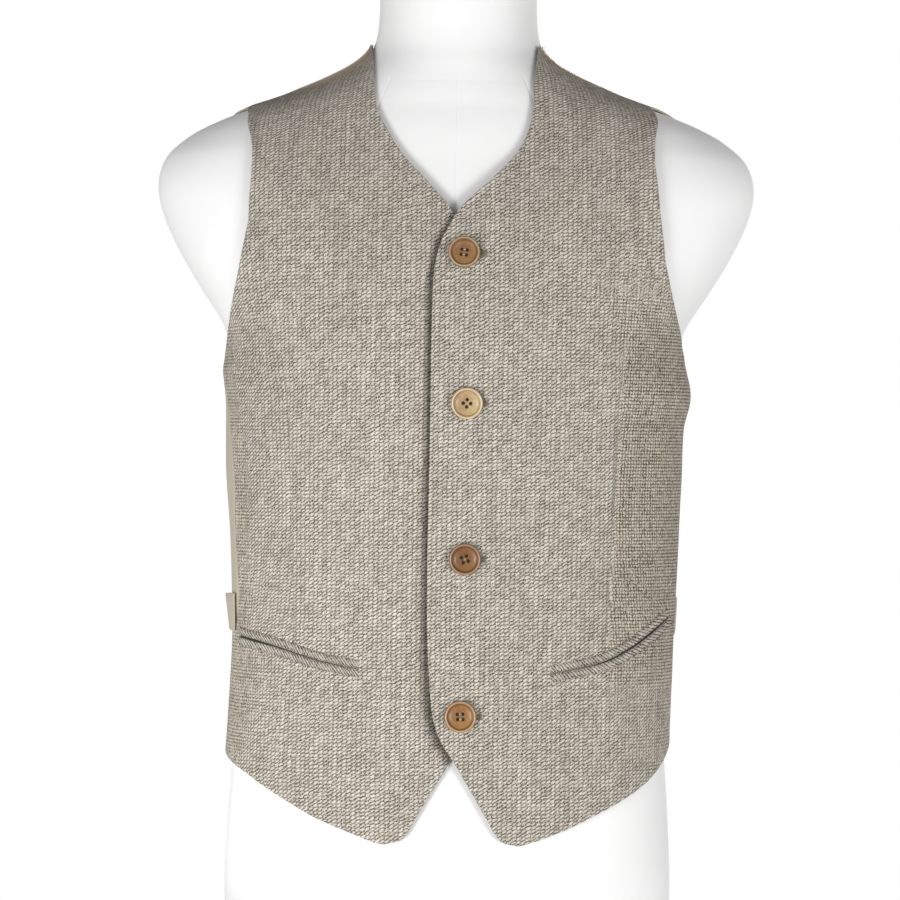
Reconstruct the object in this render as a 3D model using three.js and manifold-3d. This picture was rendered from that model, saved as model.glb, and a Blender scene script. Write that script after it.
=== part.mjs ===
// A suit waistcoat, buttoned, on a limbless dress form.
// Millimetres, +Z up. The chest faces -Y and the wearer's left is +X. The origin is the middle of
// the form's flat base. Every cloth piece is a wall worked out on level rings round the form.
import * as THREE from "three";
import { mergeVertices } from "three/addons/utils/BufferGeometryUtils.js";
import Module from "manifold-3d";

// Thicknesses and clearances
const TWEED = 2.0;
const SATIN = 1.2;
const SEAM_GAP = 0.5;
const LAYER_GAP = 0.6;

// Buttons
const BUTTON_RADIUS = 12;
const BUTTON_THICK = 3.4;
const BUTTON_HOLE_RADIUS = 1.1;
const BUTTON_HOLE_CIRCLE = 2.85;
const SHANK_RADIUS = 3;
const SHANK_LENGTH = 1.3;

// Pockets and back strap
const LIP_HEIGHT = 6.8;
const LIP_THICK = 1.1;
const LIP_STEPS = 12;
const STRAP_HEIGHT = 29;
const STRAP_THICK = 1.4;
const BUCKLE_WIDTH = 30;
const BUCKLE_HEIGHT = 37;
const BUCKLE_BAR = 3;
const BUCKLE_THICK = 1.8;

const DEGREE = Math.PI / 180;

// Rows of a table as objects, one property for each named column.
const table = (columns, rows) =>
  rows.map((row) => Object.fromEntries(columns.map((name, i) => [name, row[i]])));

// The dress form's level sections: half width, depth in front and behind, and the exponent that
// makes the oval rounder or squarer.
const FORM = table(
  ["z", "side", "front", "back", "round"],
  [
    [0, 166, 97, 108, 2.3],
    [60, 173, 104, 117, 2.3],
    [110, 172, 105, 118, 2.3],
    [170, 168, 104, 112, 2.3],
    [225, 163, 102, 102, 2.25],
    [285, 160, 101, 93, 2.2],
    [345, 163, 105, 96, 2.2],
    [400, 169, 111, 105, 2.25],
    [450, 173, 116, 114, 2.3],
    [480, 174, 118, 119, 2.3],
    [505, 179, 118, 122.5, 2.3],
    [532, 196, 115, 123.5, 2.3],
    [562, 214, 110, 121, 2.3],
    [590, 227, 103, 116, 2.25],
    [614, 232, 96, 109, 2.2],
    [636, 226, 89, 102, 2.1],
    [652, 209, 84, 95, 2.0],
    [663, 189, 80, 88, 2.0],
    [673.5, 163, 76, 82, 2.0],
    [684, 132, 73, 77, 2.0],
    [697, 101, 69, 71, 2.0],
    [709, 79, 66, 65, 2.0],
    [721, 67, 63, 60, 2.0],
    [740, 62, 61, 55, 2.0],
    [775, 61, 60, 53, 2.0],
    [806, 60, 59, 52, 2.0],
  ],
);

// How far the inside of the waistcoat stands off the form: at the wearer's right and left side, in
// front and behind. It hangs a little towards the left.
const EASE = table(
  ["z", "right", "left", "front", "back"],
  [
    [100, 2.5, 2.5, 3.5, 4.5],
    [180, 4.5, 3, 3.5, 6],
    [216, 6, 6.8, 4, 8.5],
    [247, 6.8, 10, 5, 10.5],
    [294, 8.3, 13, 6, 11.5],
    [341, 7.6, 12.2, 5, 10],
    [388, 6.2, 8.8, 4, 7],
    [430, 3.2, 6.2, 3.2, 5],
    [450, 2.4, 9.4, 3, 4.6],
    [460, 3.2, 9.2, 3, 4.4],
    [470, 4.2, 7.2, 3, 4.2],
    [482, 2.9, 5, 3, 4],
    [520, 2.6, 3.2, 3.6, 3.5],
    [575, 2.4, 2.4, 4.6, 3],
    [614, 2.2, 2.2, 4.6, 2.6],
    [650, 2.2, 2.2, 3.2, 3],
    [676, 2, 2, 2.4, 2.8],
    [704, 1.6, 1.6, 2.2, 2],
    [732, 1.6, 1.6, 2, 1.8],
  ],
);

// The front edge of each front from the point of its hem up to the neck: cutaway, straight edge
// with the overlap, break of the neck and neckline. x is measured across the middle line.
const FRONT_EDGE = table(
  ["z", "right", "left"],
  [
    [113, 50, 50],
    [114.6, 41.5, 41.5],
    [119.8, 34.5, 34.5],
    [133, 26.5, 26.5],
    [148, 18, 18],
    [163, 9, 9],
    [178, 0, 0],
    [190, -8, -8],
    [208, -14.5, -14.5],
    [235, -17, -17],
    [320, -18, -18],
    [411, -17.2, -17.2],
    [505, -17, -17],
    [545, -15.8, -15.8],
    [559, -13.2, -13.2],
    [570, -9.5, -9.5],
    [580, -4, -4],
    [590, 1.5, 1.5],
    [602, 11.5, 13],
    [611, 20, 23],
    [619, 27.3, 31],
    [627, 35, 38.5],
    [635.5, 42, 45.2],
    [645, 48.4, 50.8],
    [653, 52.8, 54],
    [661, 57, 56],
    [669, 60.5, 57.2],
    [680, 62.8, 57.8],
    [695, 63.9, 58.3],
    [710, 65, 60.2],
    [722.5, 66, 61.2],
  ],
);
// Both fronts hang a little to the wearer's left at the hem.
const HEM_DRIFT = 2.5;
const HEM_DRIFT_Z = [200, 300];

// Hem height by angle round the form, from the point of the front to the side seam.
const HEM = table(
  ["angle", "right", "left"],
  [
    [20, 113, 113],
    [27, 114.5, 113.4],
    [34, 120.2, 118.3],
    [42, 127.4, 125.8],
    [48, 133.8, 132.8],
    [59, 148.8, 147],
    [68.7, 161.4, 160.8],
    [75, 167.4, 170.3],
    [82, 172.8, 181],
    [88, 176.6, 189],
    [94, 178.6, 191],
  ],
);
const BACK_HEM_Z = 171;
const BACK_NECK_Z = 712;

// The outer edge of each front, up the side seam and round the armhole, as angles.
const RIGHT_OUTER = table(
  ["z", "angle"],
  [
    [176, 90],
    [240, 90],
    [262, 86],
    [276, 80],
    [300, 78],
    [345, 79],
    [392, 76.5],
    [436, 79.5],
    [456, 83.2],
    [466, 87.6],
    [472, 89.5],
    [473.3, 87.9],
    [476, 86],
    [480, 84],
    [486, 81.2],
    [492, 79.1],
    [499.5, 76.6],
    [510, 72.6],
    [521, 68.9],
    [531, 66.5],
    [543, 64.4],
    [555, 63],
    [568, 62],
    [583, 61.6],
    [598, 62.1],
    [614, 63],
    [630, 64.8],
    [642, 67],
    [658, 72.2],
    [668, 77.4],
    [675, 86],
  ],
);
const LEFT_OUTER = table(
  ["z", "angle"],
  [
    [188, 92],
    [300, 92],
    [440, 92],
    [453, 91.3],
    [454.4, 89.6],
    [457.6, 88],
    [463, 86.4],
    [472, 84.1],
    [482, 81.4],
    [493, 78.1],
    [504, 74.2],
    [514.5, 70],
    [525, 66.8],
    [535, 64.7],
    [546, 63],
    [557, 61.8],
    [572, 61.3],
    [587, 61.2],
    [602, 61.6],
    [618, 62.5],
    [634, 64.2],
    [650, 67.6],
    [662, 71.8],
    [671, 76.4],
    [676, 80.5],
    [679, 84],
  ],
);

// What differs between the two sides: the outer edge, and the height of the armhole's lowest point.
const RIGHT = { name: "right", outer: RIGHT_OUTER, armholeZ: 472, drift: -HEM_DRIFT };
const LEFT = { name: "left", outer: LEFT_OUTER, armholeZ: 453, drift: HEM_DRIFT };

// The back's armhole, from the side seam to the end of the shoulder, and its neckline.
const BACK_ARMHOLE = table(
  ["share", "angle", "z"],
  [
    [0, 90, 472],
    [0.05, 95, 473],
    [0.11, 100, 477],
    [0.18, 104.3, 486],
    [0.28, 108.3, 508],
    [0.42, 112.3, 545],
    [0.6, 114.5, 592],
    [0.77, 110.5, 633],
    [0.9, 101, 661],
    [1, 85, 677],
  ],
);
const BACK_NECK = table(
  ["angle", "z"],
  [
    [65, 722.5],
    [90, 725],
    [120, 721],
    [150, 715],
    [180, BACK_NECK_Z],
  ],
);

// A dart runs up each front from the pocket to the chest.
const DART = { lowZ: 257, highZ: 484, lowX: 117, highX: 126, depth: 1.2, share: 0.66 };

// The pockets' slits, from the middle outwards.
const RIGHT_POCKET = table(
  ["x", "z"],
  [
    [68.4, 245],
    [99.8, 250.7],
    [129.5, 259.3],
    [160.8, 266],
  ],
);
const LEFT_POCKET = table(
  ["x", "z"],
  [
    [75, 243],
    [115.4, 251.7],
    [138, 263.2],
    [151, 272.6],
    [167.5, 286],
  ],
);

const BUTTONS = table(
  ["x", "z", "turn"],
  [
    [6.5, 558, 4],
    [10, 446.7, 42],
    [10, 329.6, 20],
    [8.2, 210.7, 8],
  ],
);

// A table's column at a place in its first column, on one smooth curve through the rows.
function along(rows, key, column, at) {
  const last = rows.length - 1;
  const slope = (i) => {
    const a = rows[Math.max(i - 1, 0)];
    const b = rows[Math.min(i + 1, last)];
    return (b[column] - a[column]) / (b[key] - a[key]);
  };
  if (at <= rows[0][key]) return rows[0][column];
  if (at >= rows[last][key]) return rows[last][column];
  const i = rows.findIndex((row) => row[key] > at) - 1;
  const [a, b] = [rows[i], rows[i + 1]];
  const step = b[key] - a[key];
  const t = (at - a[key]) / step;
  const rise = b[column] - a[column];
  const bend = t * (1 - t) * step * ((1 - t) * slope(i) - t * slope(i + 1));
  return a[column] + rise * t * t * (3 - 2 * t) + bend;
}
const smooth = (from, to, at) => {
  const t = Math.min(Math.max((at - from) / (to - from), 0), 1);
  return t * t * (3 - 2 * t);
};
const mix = (a, b, t) => a + (b - a) * t;
const share = (count) => Array.from({ length: count + 1 }, (_, i) => i / count);

// A level section of the form at height z, and that of the inside of the cloth on one side of it.
const formSection = (z) =>
  Object.fromEntries(["side", "front", "back", "round"].map((name) => [name, along(FORM, "z", name, z)]));
function clothSection(z, hand) {
  const form = formSection(z);
  const ease = (column) => along(EASE, "z", column, z);
  return {
    side: form.side + ease(hand),
    front: form.front + ease("front"),
    back: form.back + ease("back"),
    round: form.round,
  };
}

// A point on the form or the cloth, by its angle from straight ahead towards the wearer's left.
function ringPoint(angle, z, cloth) {
  const s = cloth ? clothSection(z, angle < 0 ? "right" : "left") : formSection(z);
  const across = Math.sin(angle * DEGREE);
  const ahead = Math.cos(angle * DEGREE);
  const depth = ahead > 0 ? s.front : s.back;
  const reach =
    (Math.abs(across / s.side) ** s.round + Math.abs(ahead / depth) ** s.round) ** (-1 / s.round);
  return new THREE.Vector3(reach * across, -reach * ahead, z);
}

// The outward normal of the cloth's inner surface, from its two directions.
function clothNormal(angle, z) {
  const round = ringPoint(angle + 0.5, z, true).sub(ringPoint(angle - 0.5, z, true));
  const up = ringPoint(angle, z + 0.5, true).sub(ringPoint(angle, z - 0.5, true));
  return round.cross(up).normalize();
}

// A place on the cloth, out millimetres off its inner surface.
const clothPoint = (angle, z, out) =>
  ringPoint(angle, z, true).addScaledVector(clothNormal(angle, z), out);

// The angle at which the front of the cloth at z is x to the side, with one side's ease.
function angleAt(x, z, hand) {
  const s = clothSection(z, hand);
  const left = Math.max(1 - Math.abs(x / s.side) ** s.round, 0);
  return Math.atan2(x, s.front * left ** (1 / s.round)) / DEGREE;
}

// The turn round the form that opens a seam's gap at a place.
const gapTurn = (angle, z) => SEAM_GAP / ringPoint(angle, z, true).setZ(0).length() / DEGREE;

// A closed wall from a grid of rows of {angle, z}, between two offsets that may vary.
function wall(rows, inner, outer) {
  const [high, wide] = [rows.length, rows[0].length];
  const positions = [];
  for (const offset of [inner, outer])
    for (const row of rows)
      for (const p of row) positions.push(...clothPoint(p.angle, p.z, offset(p)).toArray());
  const at = (layer, j, i) => (layer * high + j) * wide + i;
  const faces = [];
  const quad = (a, b, c, d) => faces.push(a, b, c, a, c, d);
  for (let j = 0; j < high - 1; j++)
    for (let i = 0; i < wide - 1; i++) {
      quad(at(1, j, i), at(1, j, i + 1), at(1, j + 1, i + 1), at(1, j + 1, i));
      quad(at(0, j, i), at(0, j + 1, i), at(0, j + 1, i + 1), at(0, j, i + 1));
    }
  const rim = [];
  for (let i = 0; i < wide - 1; i++) rim.push([0, i]);
  for (let j = 0; j < high - 1; j++) rim.push([j, wide - 1]);
  for (let i = wide - 1; i > 0; i--) rim.push([high - 1, i]);
  for (let j = high - 1; j > 0; j--) rim.push([j, 0]);
  rim.forEach(([j, i], k) => {
    const [jNext, iNext] = rim[(k + 1) % rim.length];
    quad(at(0, j, i), at(0, jNext, iNext), at(1, jNext, iNext), at(1, j, i));
  });
  const geometry = new THREE.BufferGeometry();
  geometry.setAttribute("position", new THREE.Float32BufferAttribute(positions, 3));
  geometry.setIndex(faces);
  return geometry;
}

// The same grid seen in a mirror, so that its faces still point outwards.
const mirrored = (rows) =>
  rows.map((row) => row.map((p) => ({ ...p, angle: -p.angle })).reverse());

// Rows up the side seam, closer together at the hem, and on up the armhole. The front and the back
// share those of the seam, so that their walls keep the same gap all the way.
const SEAM_ROWS = 14;
const ARMHOLE_ROWS = 23;
// Steps that are shorter at both ends, where an armhole turns.
const bothEnds = (t) => mix(t, smooth(0, 1, t), 0.6);
const tipOf = (side) => side.outer[side.outer.length - 1];
const seamHeights = (side) =>
  share(SEAM_ROWS).map((t) => mix(side.outer[0].z, side.armholeZ, t ** 1.6));
const armholeHeights = (side) =>
  share(ARMHOLE_ROWS).slice(1).map((t) => mix(side.armholeZ, tipOf(side).z, bothEnds(t)));

// Where the shoulder seam meets the neckline.
function neckOf(side) {
  const top = FRONT_EDGE[FRONT_EDGE.length - 1];
  return { angle: angleAt(top[side.name], top.z, side.name), z: top.z };
}

// Columns across a front, from the front edge to the outer edge, with three about the dart.
const DART_HALF = 0.04;
const COLUMNS = [0, 0.05, 0.12, 0.21, 0.31, 0.42, 0.53, DART.share - DART_HALF, DART.share];
COLUMNS.push(DART.share + DART_HALF, 0.77, 0.85, 0.93, 1);

// One front as a grid of {angle, z}, drawn as if it were the wearer's left one.
function frontGrid(side) {
  const [low, tip, neck] = [side.outer[0], tipOf(side), neckOf(side)];
  const point = FRONT_EDGE[0];
  const shift = (z) => side.drift * (1 - smooth(...HEM_DRIFT_Z, z));
  const hemHeight = (angle) => along(HEM, "angle", side.name, angle);
  const edgeAngle = (z) => angleAt(along(FRONT_EDGE, "z", side.name, z) + shift(z), z, side.name);
  return [...seamHeights(side), ...armholeHeights(side)].map((zOuter) => {
    const v = (zOuter - low.z) / (tip.z - low.z);
    const zEdge = mix(point.z, neck.z, v);
    const from = edgeAngle(zEdge);
    const to = along(side.outer, "z", "angle", zOuter);
    return COLUMNS.map((u) => {
      const hem = hemHeight(mix(edgeAngle(point.z), low.angle, u)) - hemHeight(low.angle) * u;
      const z = mix(zEdge, zOuter, u) + (hem - point.z * (1 - u)) * (1 - v) ** 3;
      const dartX = mix(DART.lowX, DART.highX, (z - DART.lowZ) / (DART.highZ - DART.lowZ));
      const pull = smooth(150, DART.lowZ, z) * (1 - smooth(DART.highZ, 560, z));
      const middle = mix(mix(from, to, DART.share), angleAt(dartX, z, side.name), pull);
      const angle =
        u < DART.share
          ? mix(from, middle, u / DART.share)
          : mix(middle, to, (u - DART.share) / (1 - DART.share));
      const sewn = smooth(DART.lowZ - 8, DART.lowZ, z) * (1 - smooth(DART.highZ - 60, DART.highZ, z));
      return { angle, z, dart: u === DART.share ? DART.depth * sewn : 0 };
    });
  });
}

// The left front lies over the right one across the middle, so it lifts there.
const OVERLAP = { full: 24, none: 52, lift: TWEED + LAYER_GAP };
const overlapLift = (p) =>
  OVERLAP.lift * (1 - smooth(OVERLAP.full, OVERLAP.none, ringPoint(p.angle, p.z, true).x));

// One half of the back as a grid, drawn as if it were the wearer's left one. Its outer edge runs up
// the side seam, round the armhole and along the shoulder seam. Its top edge is the neckline.
const BACK_COLUMNS = 12;
const BACK_ARMHOLE_ROWS = 19;
const MIDDLE_SEAM = 180;
function backGrid(side) {
  const [low, tip, neck] = [side.outer[0], tipOf(side), neckOf(side)];
  const seamAngle = (z) => along(side.outer, "z", "angle", z);
  const start = { angle: seamAngle(side.armholeZ), z: side.armholeZ };
  const [first, last] = [BACK_ARMHOLE[0], BACK_ARMHOLE[BACK_ARMHOLE.length - 1]];
  const armhole = share(BACK_ARMHOLE_ROWS).slice(1, -1).map((t) => {
    const s = bothEnds(t);
    const fitted = (column) =>
      along(BACK_ARMHOLE, "share", column, s) +
      (start[column] - first[column]) * (1 - s) ** 4 +
      (tip[column] - last[column]) * s ** 4;
    return { angle: fitted("angle"), z: fitted("z") };
  });
  const shoulder = COLUMNS.map((u) => ({ angle: mix(neck.angle, tip.angle, u), z: mix(neck.z, tip.z, u) }));
  // Where the side seam leans, its gap is wider along the level, so that it is as wide across.
  const seam = seamHeights(side).map((z) => {
    const lean = (seamAngle(z + 2) - seamAngle(z - 2)) / 4 / gapTurn(seamAngle(z), z);
    return { angle: seamAngle(z), z, widen: Math.hypot(1, lean * SEAM_GAP) };
  });
  return [...seam, ...armhole, ...shoulder.reverse()].map((edge) => {
    const v = (edge.z - low.z) / (neck.z - low.z);
    const from = edge.angle + gapTurn(edge.angle, edge.z) * (edge.widen ?? 1);
    const zMiddle = mix(BACK_HEM_Z, BACK_NECK_Z, v);
    return share(BACK_COLUMNS).map((t) => {
      const u = t ** 1.3;
      const to = MIDDLE_SEAM - gapTurn(MIDDLE_SEAM, zMiddle) / 2;
      const angle = mix(from, to, u);
      const hem = smooth(0, 0.7, u) - u;
      const neckline = along(BACK_NECK, "angle", "z", angle) - mix(neck.z, BACK_NECK_Z, u);
      const z = mix(edge.z, zMiddle, u);
      return { angle, z: z + (BACK_HEM_Z - low.z) * hem * (1 - v) ** 3 + neckline * v ** 12 };
    });
  });
}

// A lip of a jetted pocket on a front: sign +1 is the upper one, -1 the lower one. It lies on the
// front's own outer face.
const LIP_RIDE = 0.75;
function lipGrid(pocket, sign, hand) {
  const [first, last] = [pocket[0], pocket[pocket.length - 1]];
  return [-1, -0.4, 0.4, 1].map((s) =>
    share(LIP_STEPS).map((t) => {
      const x = mix(first.x, last.x, t);
      const slit = along(pocket, "x", "z", x) + sign * (LIP_HEIGHT / 2 + SEAM_GAP);
      const z = slit + (s * LIP_HEIGHT) / 2;
      return { angle: angleAt(x, z, hand), z, crown: Math.abs(s) < 1 ? 1 : 0.7 };
    }),
  );
}

// Half of the back strap, from a side seam to the buckle. It flares away from the back near the seam.
const STRAP_Z = { side: 284, middle: 276 };
const STRAP_END = 176.5;
const STRAP_STEPS = 20;
const STRAP_RIDE = 0.85;
const FLARE_SPAN = 0.42;
function strapGrid(side, flare) {
  const start = along(side.outer, "z", "angle", STRAP_Z.side) + 0.6;
  return [-1, 0, 1].map((s) =>
    share(STRAP_STEPS).map((t) => {
      const narrow = BUCKLE_HEIGHT - 3 * BUCKLE_BAR;
      const half = mix(STRAP_HEIGHT, narrow, smooth(0.2, 0.9, t)) / 2;
      const bulge = Math.sin(Math.PI * Math.min(t / FLARE_SPAN, 1));
      const z = mix(STRAP_Z.side, STRAP_Z.middle, t) + s * half;
      return { angle: mix(start, STRAP_END, t), z, stand: flare * bulge * (s + 1) * 0.5 };
    }),
  );
}

// The dress form: level rings from the flat base to the top of the neck, closed at both ends.
const FORM_SEGMENTS = 40;
const FORM_CHAMFER = 5;
const FORM_TOP = FORM[FORM.length - 1].z;
const FORM_SPANS = table(
  ["from", "to", "steps"],
  [
    [FORM_CHAMFER, 480, 15],
    [480, 606, 10],
    [606, 736, 21],
    [736, FORM_TOP - FORM_CHAMFER, 4],
  ],
);
function formGeometry() {
  const rings = [{ z: 0, scale: 0.975 }, { z: FORM_CHAMFER, scale: 1 }];
  for (const span of FORM_SPANS)
    for (const t of share(span.steps).slice(1)) rings.push({ z: mix(span.from, span.to, t), scale: 1 });
  rings.push({ z: FORM_TOP, scale: 0.93 });
  const positions = [0, 0, 0];
  for (const ring of rings)
    for (let i = 0; i < FORM_SEGMENTS; i++) {
      const p = ringPoint((360 * i) / FORM_SEGMENTS, ring.z, false);
      positions.push(p.x * ring.scale, p.y * ring.scale, p.z);
    }
  const apex = positions.length / 3;
  positions.push(0, 0, FORM_TOP);
  const at = (j, i) => 1 + j * FORM_SEGMENTS + (i % FORM_SEGMENTS);
  const last = rings.length - 1;
  const faces = [];
  for (let i = 0; i < FORM_SEGMENTS; i++) {
    faces.push(0, at(0, i + 1), at(0, i), apex, at(last, i), at(last, i + 1));
    for (let j = 0; j < last; j++)
      faces.push(at(j, i), at(j, i + 1), at(j + 1, i + 1), at(j, i), at(j + 1, i + 1), at(j + 1, i));
  }
  const geometry = new THREE.BufferGeometry();
  geometry.setAttribute("position", new THREE.Float32BufferAttribute(positions, 3));
  geometry.setIndex(faces);
  return geometry;
}

const wasm = await Module();
wasm.setup();

// A closed geometry as a solid that can be cut, and back again.
function toSolid(geometry) {
  const plain = geometry.clone();
  plain.deleteAttribute("normal");
  plain.deleteAttribute("uv");
  const merged = mergeVertices(plain, 1e-4);
  return new wasm.Manifold(
    new wasm.Mesh({
      numProp: 3,
      vertProperties: merged.attributes.position.array,
      triVerts: new Uint32Array(merged.index.array),
    }),
  );
}
function toGeometry(solid) {
  const mesh = solid.getMesh();
  const geometry = new THREE.BufferGeometry();
  geometry.setAttribute("position", new THREE.BufferAttribute(mesh.vertProperties, 3));
  geometry.setIndex(new THREE.BufferAttribute(mesh.triVerts, 1));
  return geometry;
}

// A four-hole button with a raised rim and its thread shank, its face along +Z.
const BUTTON_SEGMENTS = 20;
function buttonGeometry() {
  const [r, h, s] = [BUTTON_RADIUS, BUTTON_THICK, SHANK_LENGTH];
  const profile = [
    [0, 0],
    [SHANK_RADIUS, 0],
    [SHANK_RADIUS, s],
    [r - 2, s],
    [r, s + 0.35 * h],
    [r - 0.7, s + 0.9 * h],
    [r - 1.7, s + h],
    [r - 2.9, s + 0.62 * h],
    [0, s + 0.5 * h],
  ].map(([x, y]) => new THREE.Vector2(x, y));
  let solid = toSolid(new THREE.LatheGeometry(profile, BUTTON_SEGMENTS).rotateX(Math.PI / 2));
  for (let k = 0; k < 4; k++) {
    const turn = Math.PI / 4 + (k * Math.PI) / 2;
    const [x, y] = [Math.cos(turn) * BUTTON_HOLE_CIRCLE, Math.sin(turn) * BUTTON_HOLE_CIRCLE];
    const hole = new THREE.CylinderGeometry(BUTTON_HOLE_RADIUS, BUTTON_HOLE_RADIUS, 2 * h, 6);
    hole.rotateX(Math.PI / 2).translate(x, y, s + 1.25 * h);
    solid = solid.subtract(toSolid(hole));
  }
  return toGeometry(solid);
}

// The strap's slide: a flat frame with a middle bar, its face along +Z.
function buckleGeometry() {
  const [w, h, b, t] = [BUCKLE_WIDTH, BUCKLE_HEIGHT, BUCKLE_BAR, BUCKLE_THICK];
  let solid = toSolid(new THREE.BoxGeometry(w, h, t).translate(0, 0, t / 2));
  for (const sign of [-1, 1]) {
    const window = new THREE.BoxGeometry((w - 3 * b) / 2, h - 2 * b, 3 * t);
    solid = solid.subtract(toSolid(window.translate((sign * (w - b)) / 4, 0, 0)));
  }
  return toGeometry(solid);
}

const material = (name, color, roughness, metalness = 0) =>
  Object.assign(new THREE.MeshStandardMaterial({ color, roughness, metalness }), { name });
const tweed = material("tweed", 0xaaa294, 0.95);
const lipTweed = material("lip_tweed", 0x9c9486, 0.95);
const satin = material("satin", 0xb3a68d, 0.45);
const linen = material("form_cover", 0xeeeeec, 0.85);
const horn = material("button", 0xb98552, 0.4);
const steel = material("buckle", 0x9a9288, 0.35, 1);

const group = new THREE.Group();
function piece(name, geometry, finish) {
  const mesh = new THREE.Mesh(geometry, finish);
  mesh.name = name;
  group.add(mesh);
  return mesh;
}

// Puts a flat piece on the cloth at an angle and height, its +Z face outwards and +Y up.
function seat(mesh, angle, z, out, turn = 0) {
  const normal = clothNormal(angle, z);
  const right = new THREE.Vector3(0, 0, 1).cross(normal).normalize();
  const up = normal.clone().cross(right);
  mesh.quaternion.setFromRotationMatrix(new THREE.Matrix4().makeBasis(right, up, normal));
  mesh.rotateZ(turn * DEGREE);
  mesh.position.copy(clothPoint(angle, z, out));
}

piece("dress_form", formGeometry(), linen);

// The two fronts: each dart is a groove pressed into the wall.
const onLeft = (p) => overlapLift(p) - p.dart;
const onRight = (p) => -p.dart;
piece("front_left", wall(frontGrid(LEFT), onLeft, (p) => onLeft(p) + TWEED), tweed);
piece("front_right", wall(mirrored(frontGrid(RIGHT)), onRight, (p) => onRight(p) + TWEED), tweed);

// The back is thinner, with its outer face level with the fronts'.
const backInner = () => TWEED - SATIN;
const backOuter = () => TWEED;
piece("back_left", wall(backGrid(LEFT), backInner, backOuter), satin);
piece("back_right", wall(mirrored(backGrid(RIGHT)), backInner, backOuter), satin);

const lipInner = () => TWEED + LIP_RIDE;
const lipOuter = (p) => TWEED + LIP_RIDE + LIP_THICK * p.crown;
for (const [row, sign] of [["upper", 1], ["lower", -1]]) {
  piece("pocket_left_" + row, wall(lipGrid(LEFT_POCKET, sign, "left"), lipInner, lipOuter), lipTweed);
  const right = mirrored(lipGrid(RIGHT_POCKET, sign, "right"));
  piece("pocket_right_" + row, wall(right, lipInner, lipOuter), lipTweed);
}

BUTTONS.forEach((spot, k) => {
  const angle = angleAt(spot.x, spot.z, "left");
  const out = TWEED + overlapLift({ angle, z: spot.z }) + SEAM_GAP;
  const mesh = piece("button_" + (k + 1), buttonGeometry(), horn);
  seat(mesh, angle, spot.z, out, spot.turn);
});

const strapInner = (p) => TWEED + STRAP_RIDE + p.stand;
const strapOuter = (p) => strapInner(p) + STRAP_THICK;
piece("strap_left", wall(strapGrid(LEFT, 2), strapInner, strapOuter), satin);
piece("strap_right", wall(mirrored(strapGrid(RIGHT, 4.5)), strapInner, strapOuter), satin);
const buckle = piece("buckle", buckleGeometry(), steel);
seat(buckle, MIDDLE_SEAM, STRAP_Z.middle, TWEED + STRAP_RIDE + STRAP_THICK + LAYER_GAP);

export default group;
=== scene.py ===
"""A buttoned suit waistcoat on a limbless dress form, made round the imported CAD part.

Sizes are millimetres until a mesh is made, and then metres. The frame is the part's own: +Z up, the
chest towards -Y, the wearer's left towards +X. Every cloth point is an angle round the body, from
straight ahead towards the wearer's left, a height, and how far it stands off the cloth's inner face.
"""

import bpy
import numpy as np
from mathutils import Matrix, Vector


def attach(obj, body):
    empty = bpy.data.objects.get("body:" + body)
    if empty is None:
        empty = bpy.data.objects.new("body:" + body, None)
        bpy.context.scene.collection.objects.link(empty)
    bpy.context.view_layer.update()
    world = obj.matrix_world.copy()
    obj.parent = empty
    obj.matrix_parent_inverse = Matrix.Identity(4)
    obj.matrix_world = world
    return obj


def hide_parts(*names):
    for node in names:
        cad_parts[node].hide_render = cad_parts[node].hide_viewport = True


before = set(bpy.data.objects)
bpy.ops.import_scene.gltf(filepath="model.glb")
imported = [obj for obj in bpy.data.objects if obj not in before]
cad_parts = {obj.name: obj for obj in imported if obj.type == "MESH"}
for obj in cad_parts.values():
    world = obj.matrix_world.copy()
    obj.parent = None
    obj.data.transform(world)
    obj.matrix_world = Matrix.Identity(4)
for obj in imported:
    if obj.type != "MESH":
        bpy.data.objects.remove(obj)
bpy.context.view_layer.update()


# The dress form: a limbless torso, a hard shell under a white jersey cover that is cut in panels and
# sewn down the front, the back and both sides of the body, and round the base of the neck.
def rows(names, *values):
    """A table with named columns, as one array for each name."""
    return dict(zip(names.split(), np.array(values, float).T))


FORM = rows(
    "z side front back round",
    (0, 166, 97, 108, 2.3),
    (60, 173, 104, 117, 2.3),
    (110, 172, 105, 118, 2.3),
    (170, 168, 104, 112, 2.3),
    (225, 163, 102, 102, 2.25),
    (285, 160, 101, 93, 2.2),
    (345, 163, 105, 96, 2.2),
    (400, 169, 111, 105, 2.25),
    (450, 173, 116, 114, 2.3),
    (480, 174, 118, 119, 2.3),
    (505, 179, 118, 122.5, 2.3),
    (532, 196, 115, 123.5, 2.3),
    (562, 214, 110, 121, 2.3),
    (590, 227, 103, 116, 2.25),
    (614, 232, 96, 109, 2.2),
    (636, 226, 89, 102, 2.1),
    (652, 209, 84, 95, 2.0),
    (663, 189, 80, 88, 2.0),
    (673.5, 163, 76, 82, 2.0),
    (684, 132, 73, 77, 2.0),
    (697, 101, 69, 71, 2.0),
    (709, 79, 66, 65, 2.0),
    (721, 67, 63, 60, 2.0),
    (740, 62, 61, 55, 2.0),
    (775, 61, 60, 53, 2.0),
    (806, 60, 59, 52, 2.0),
)
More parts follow.
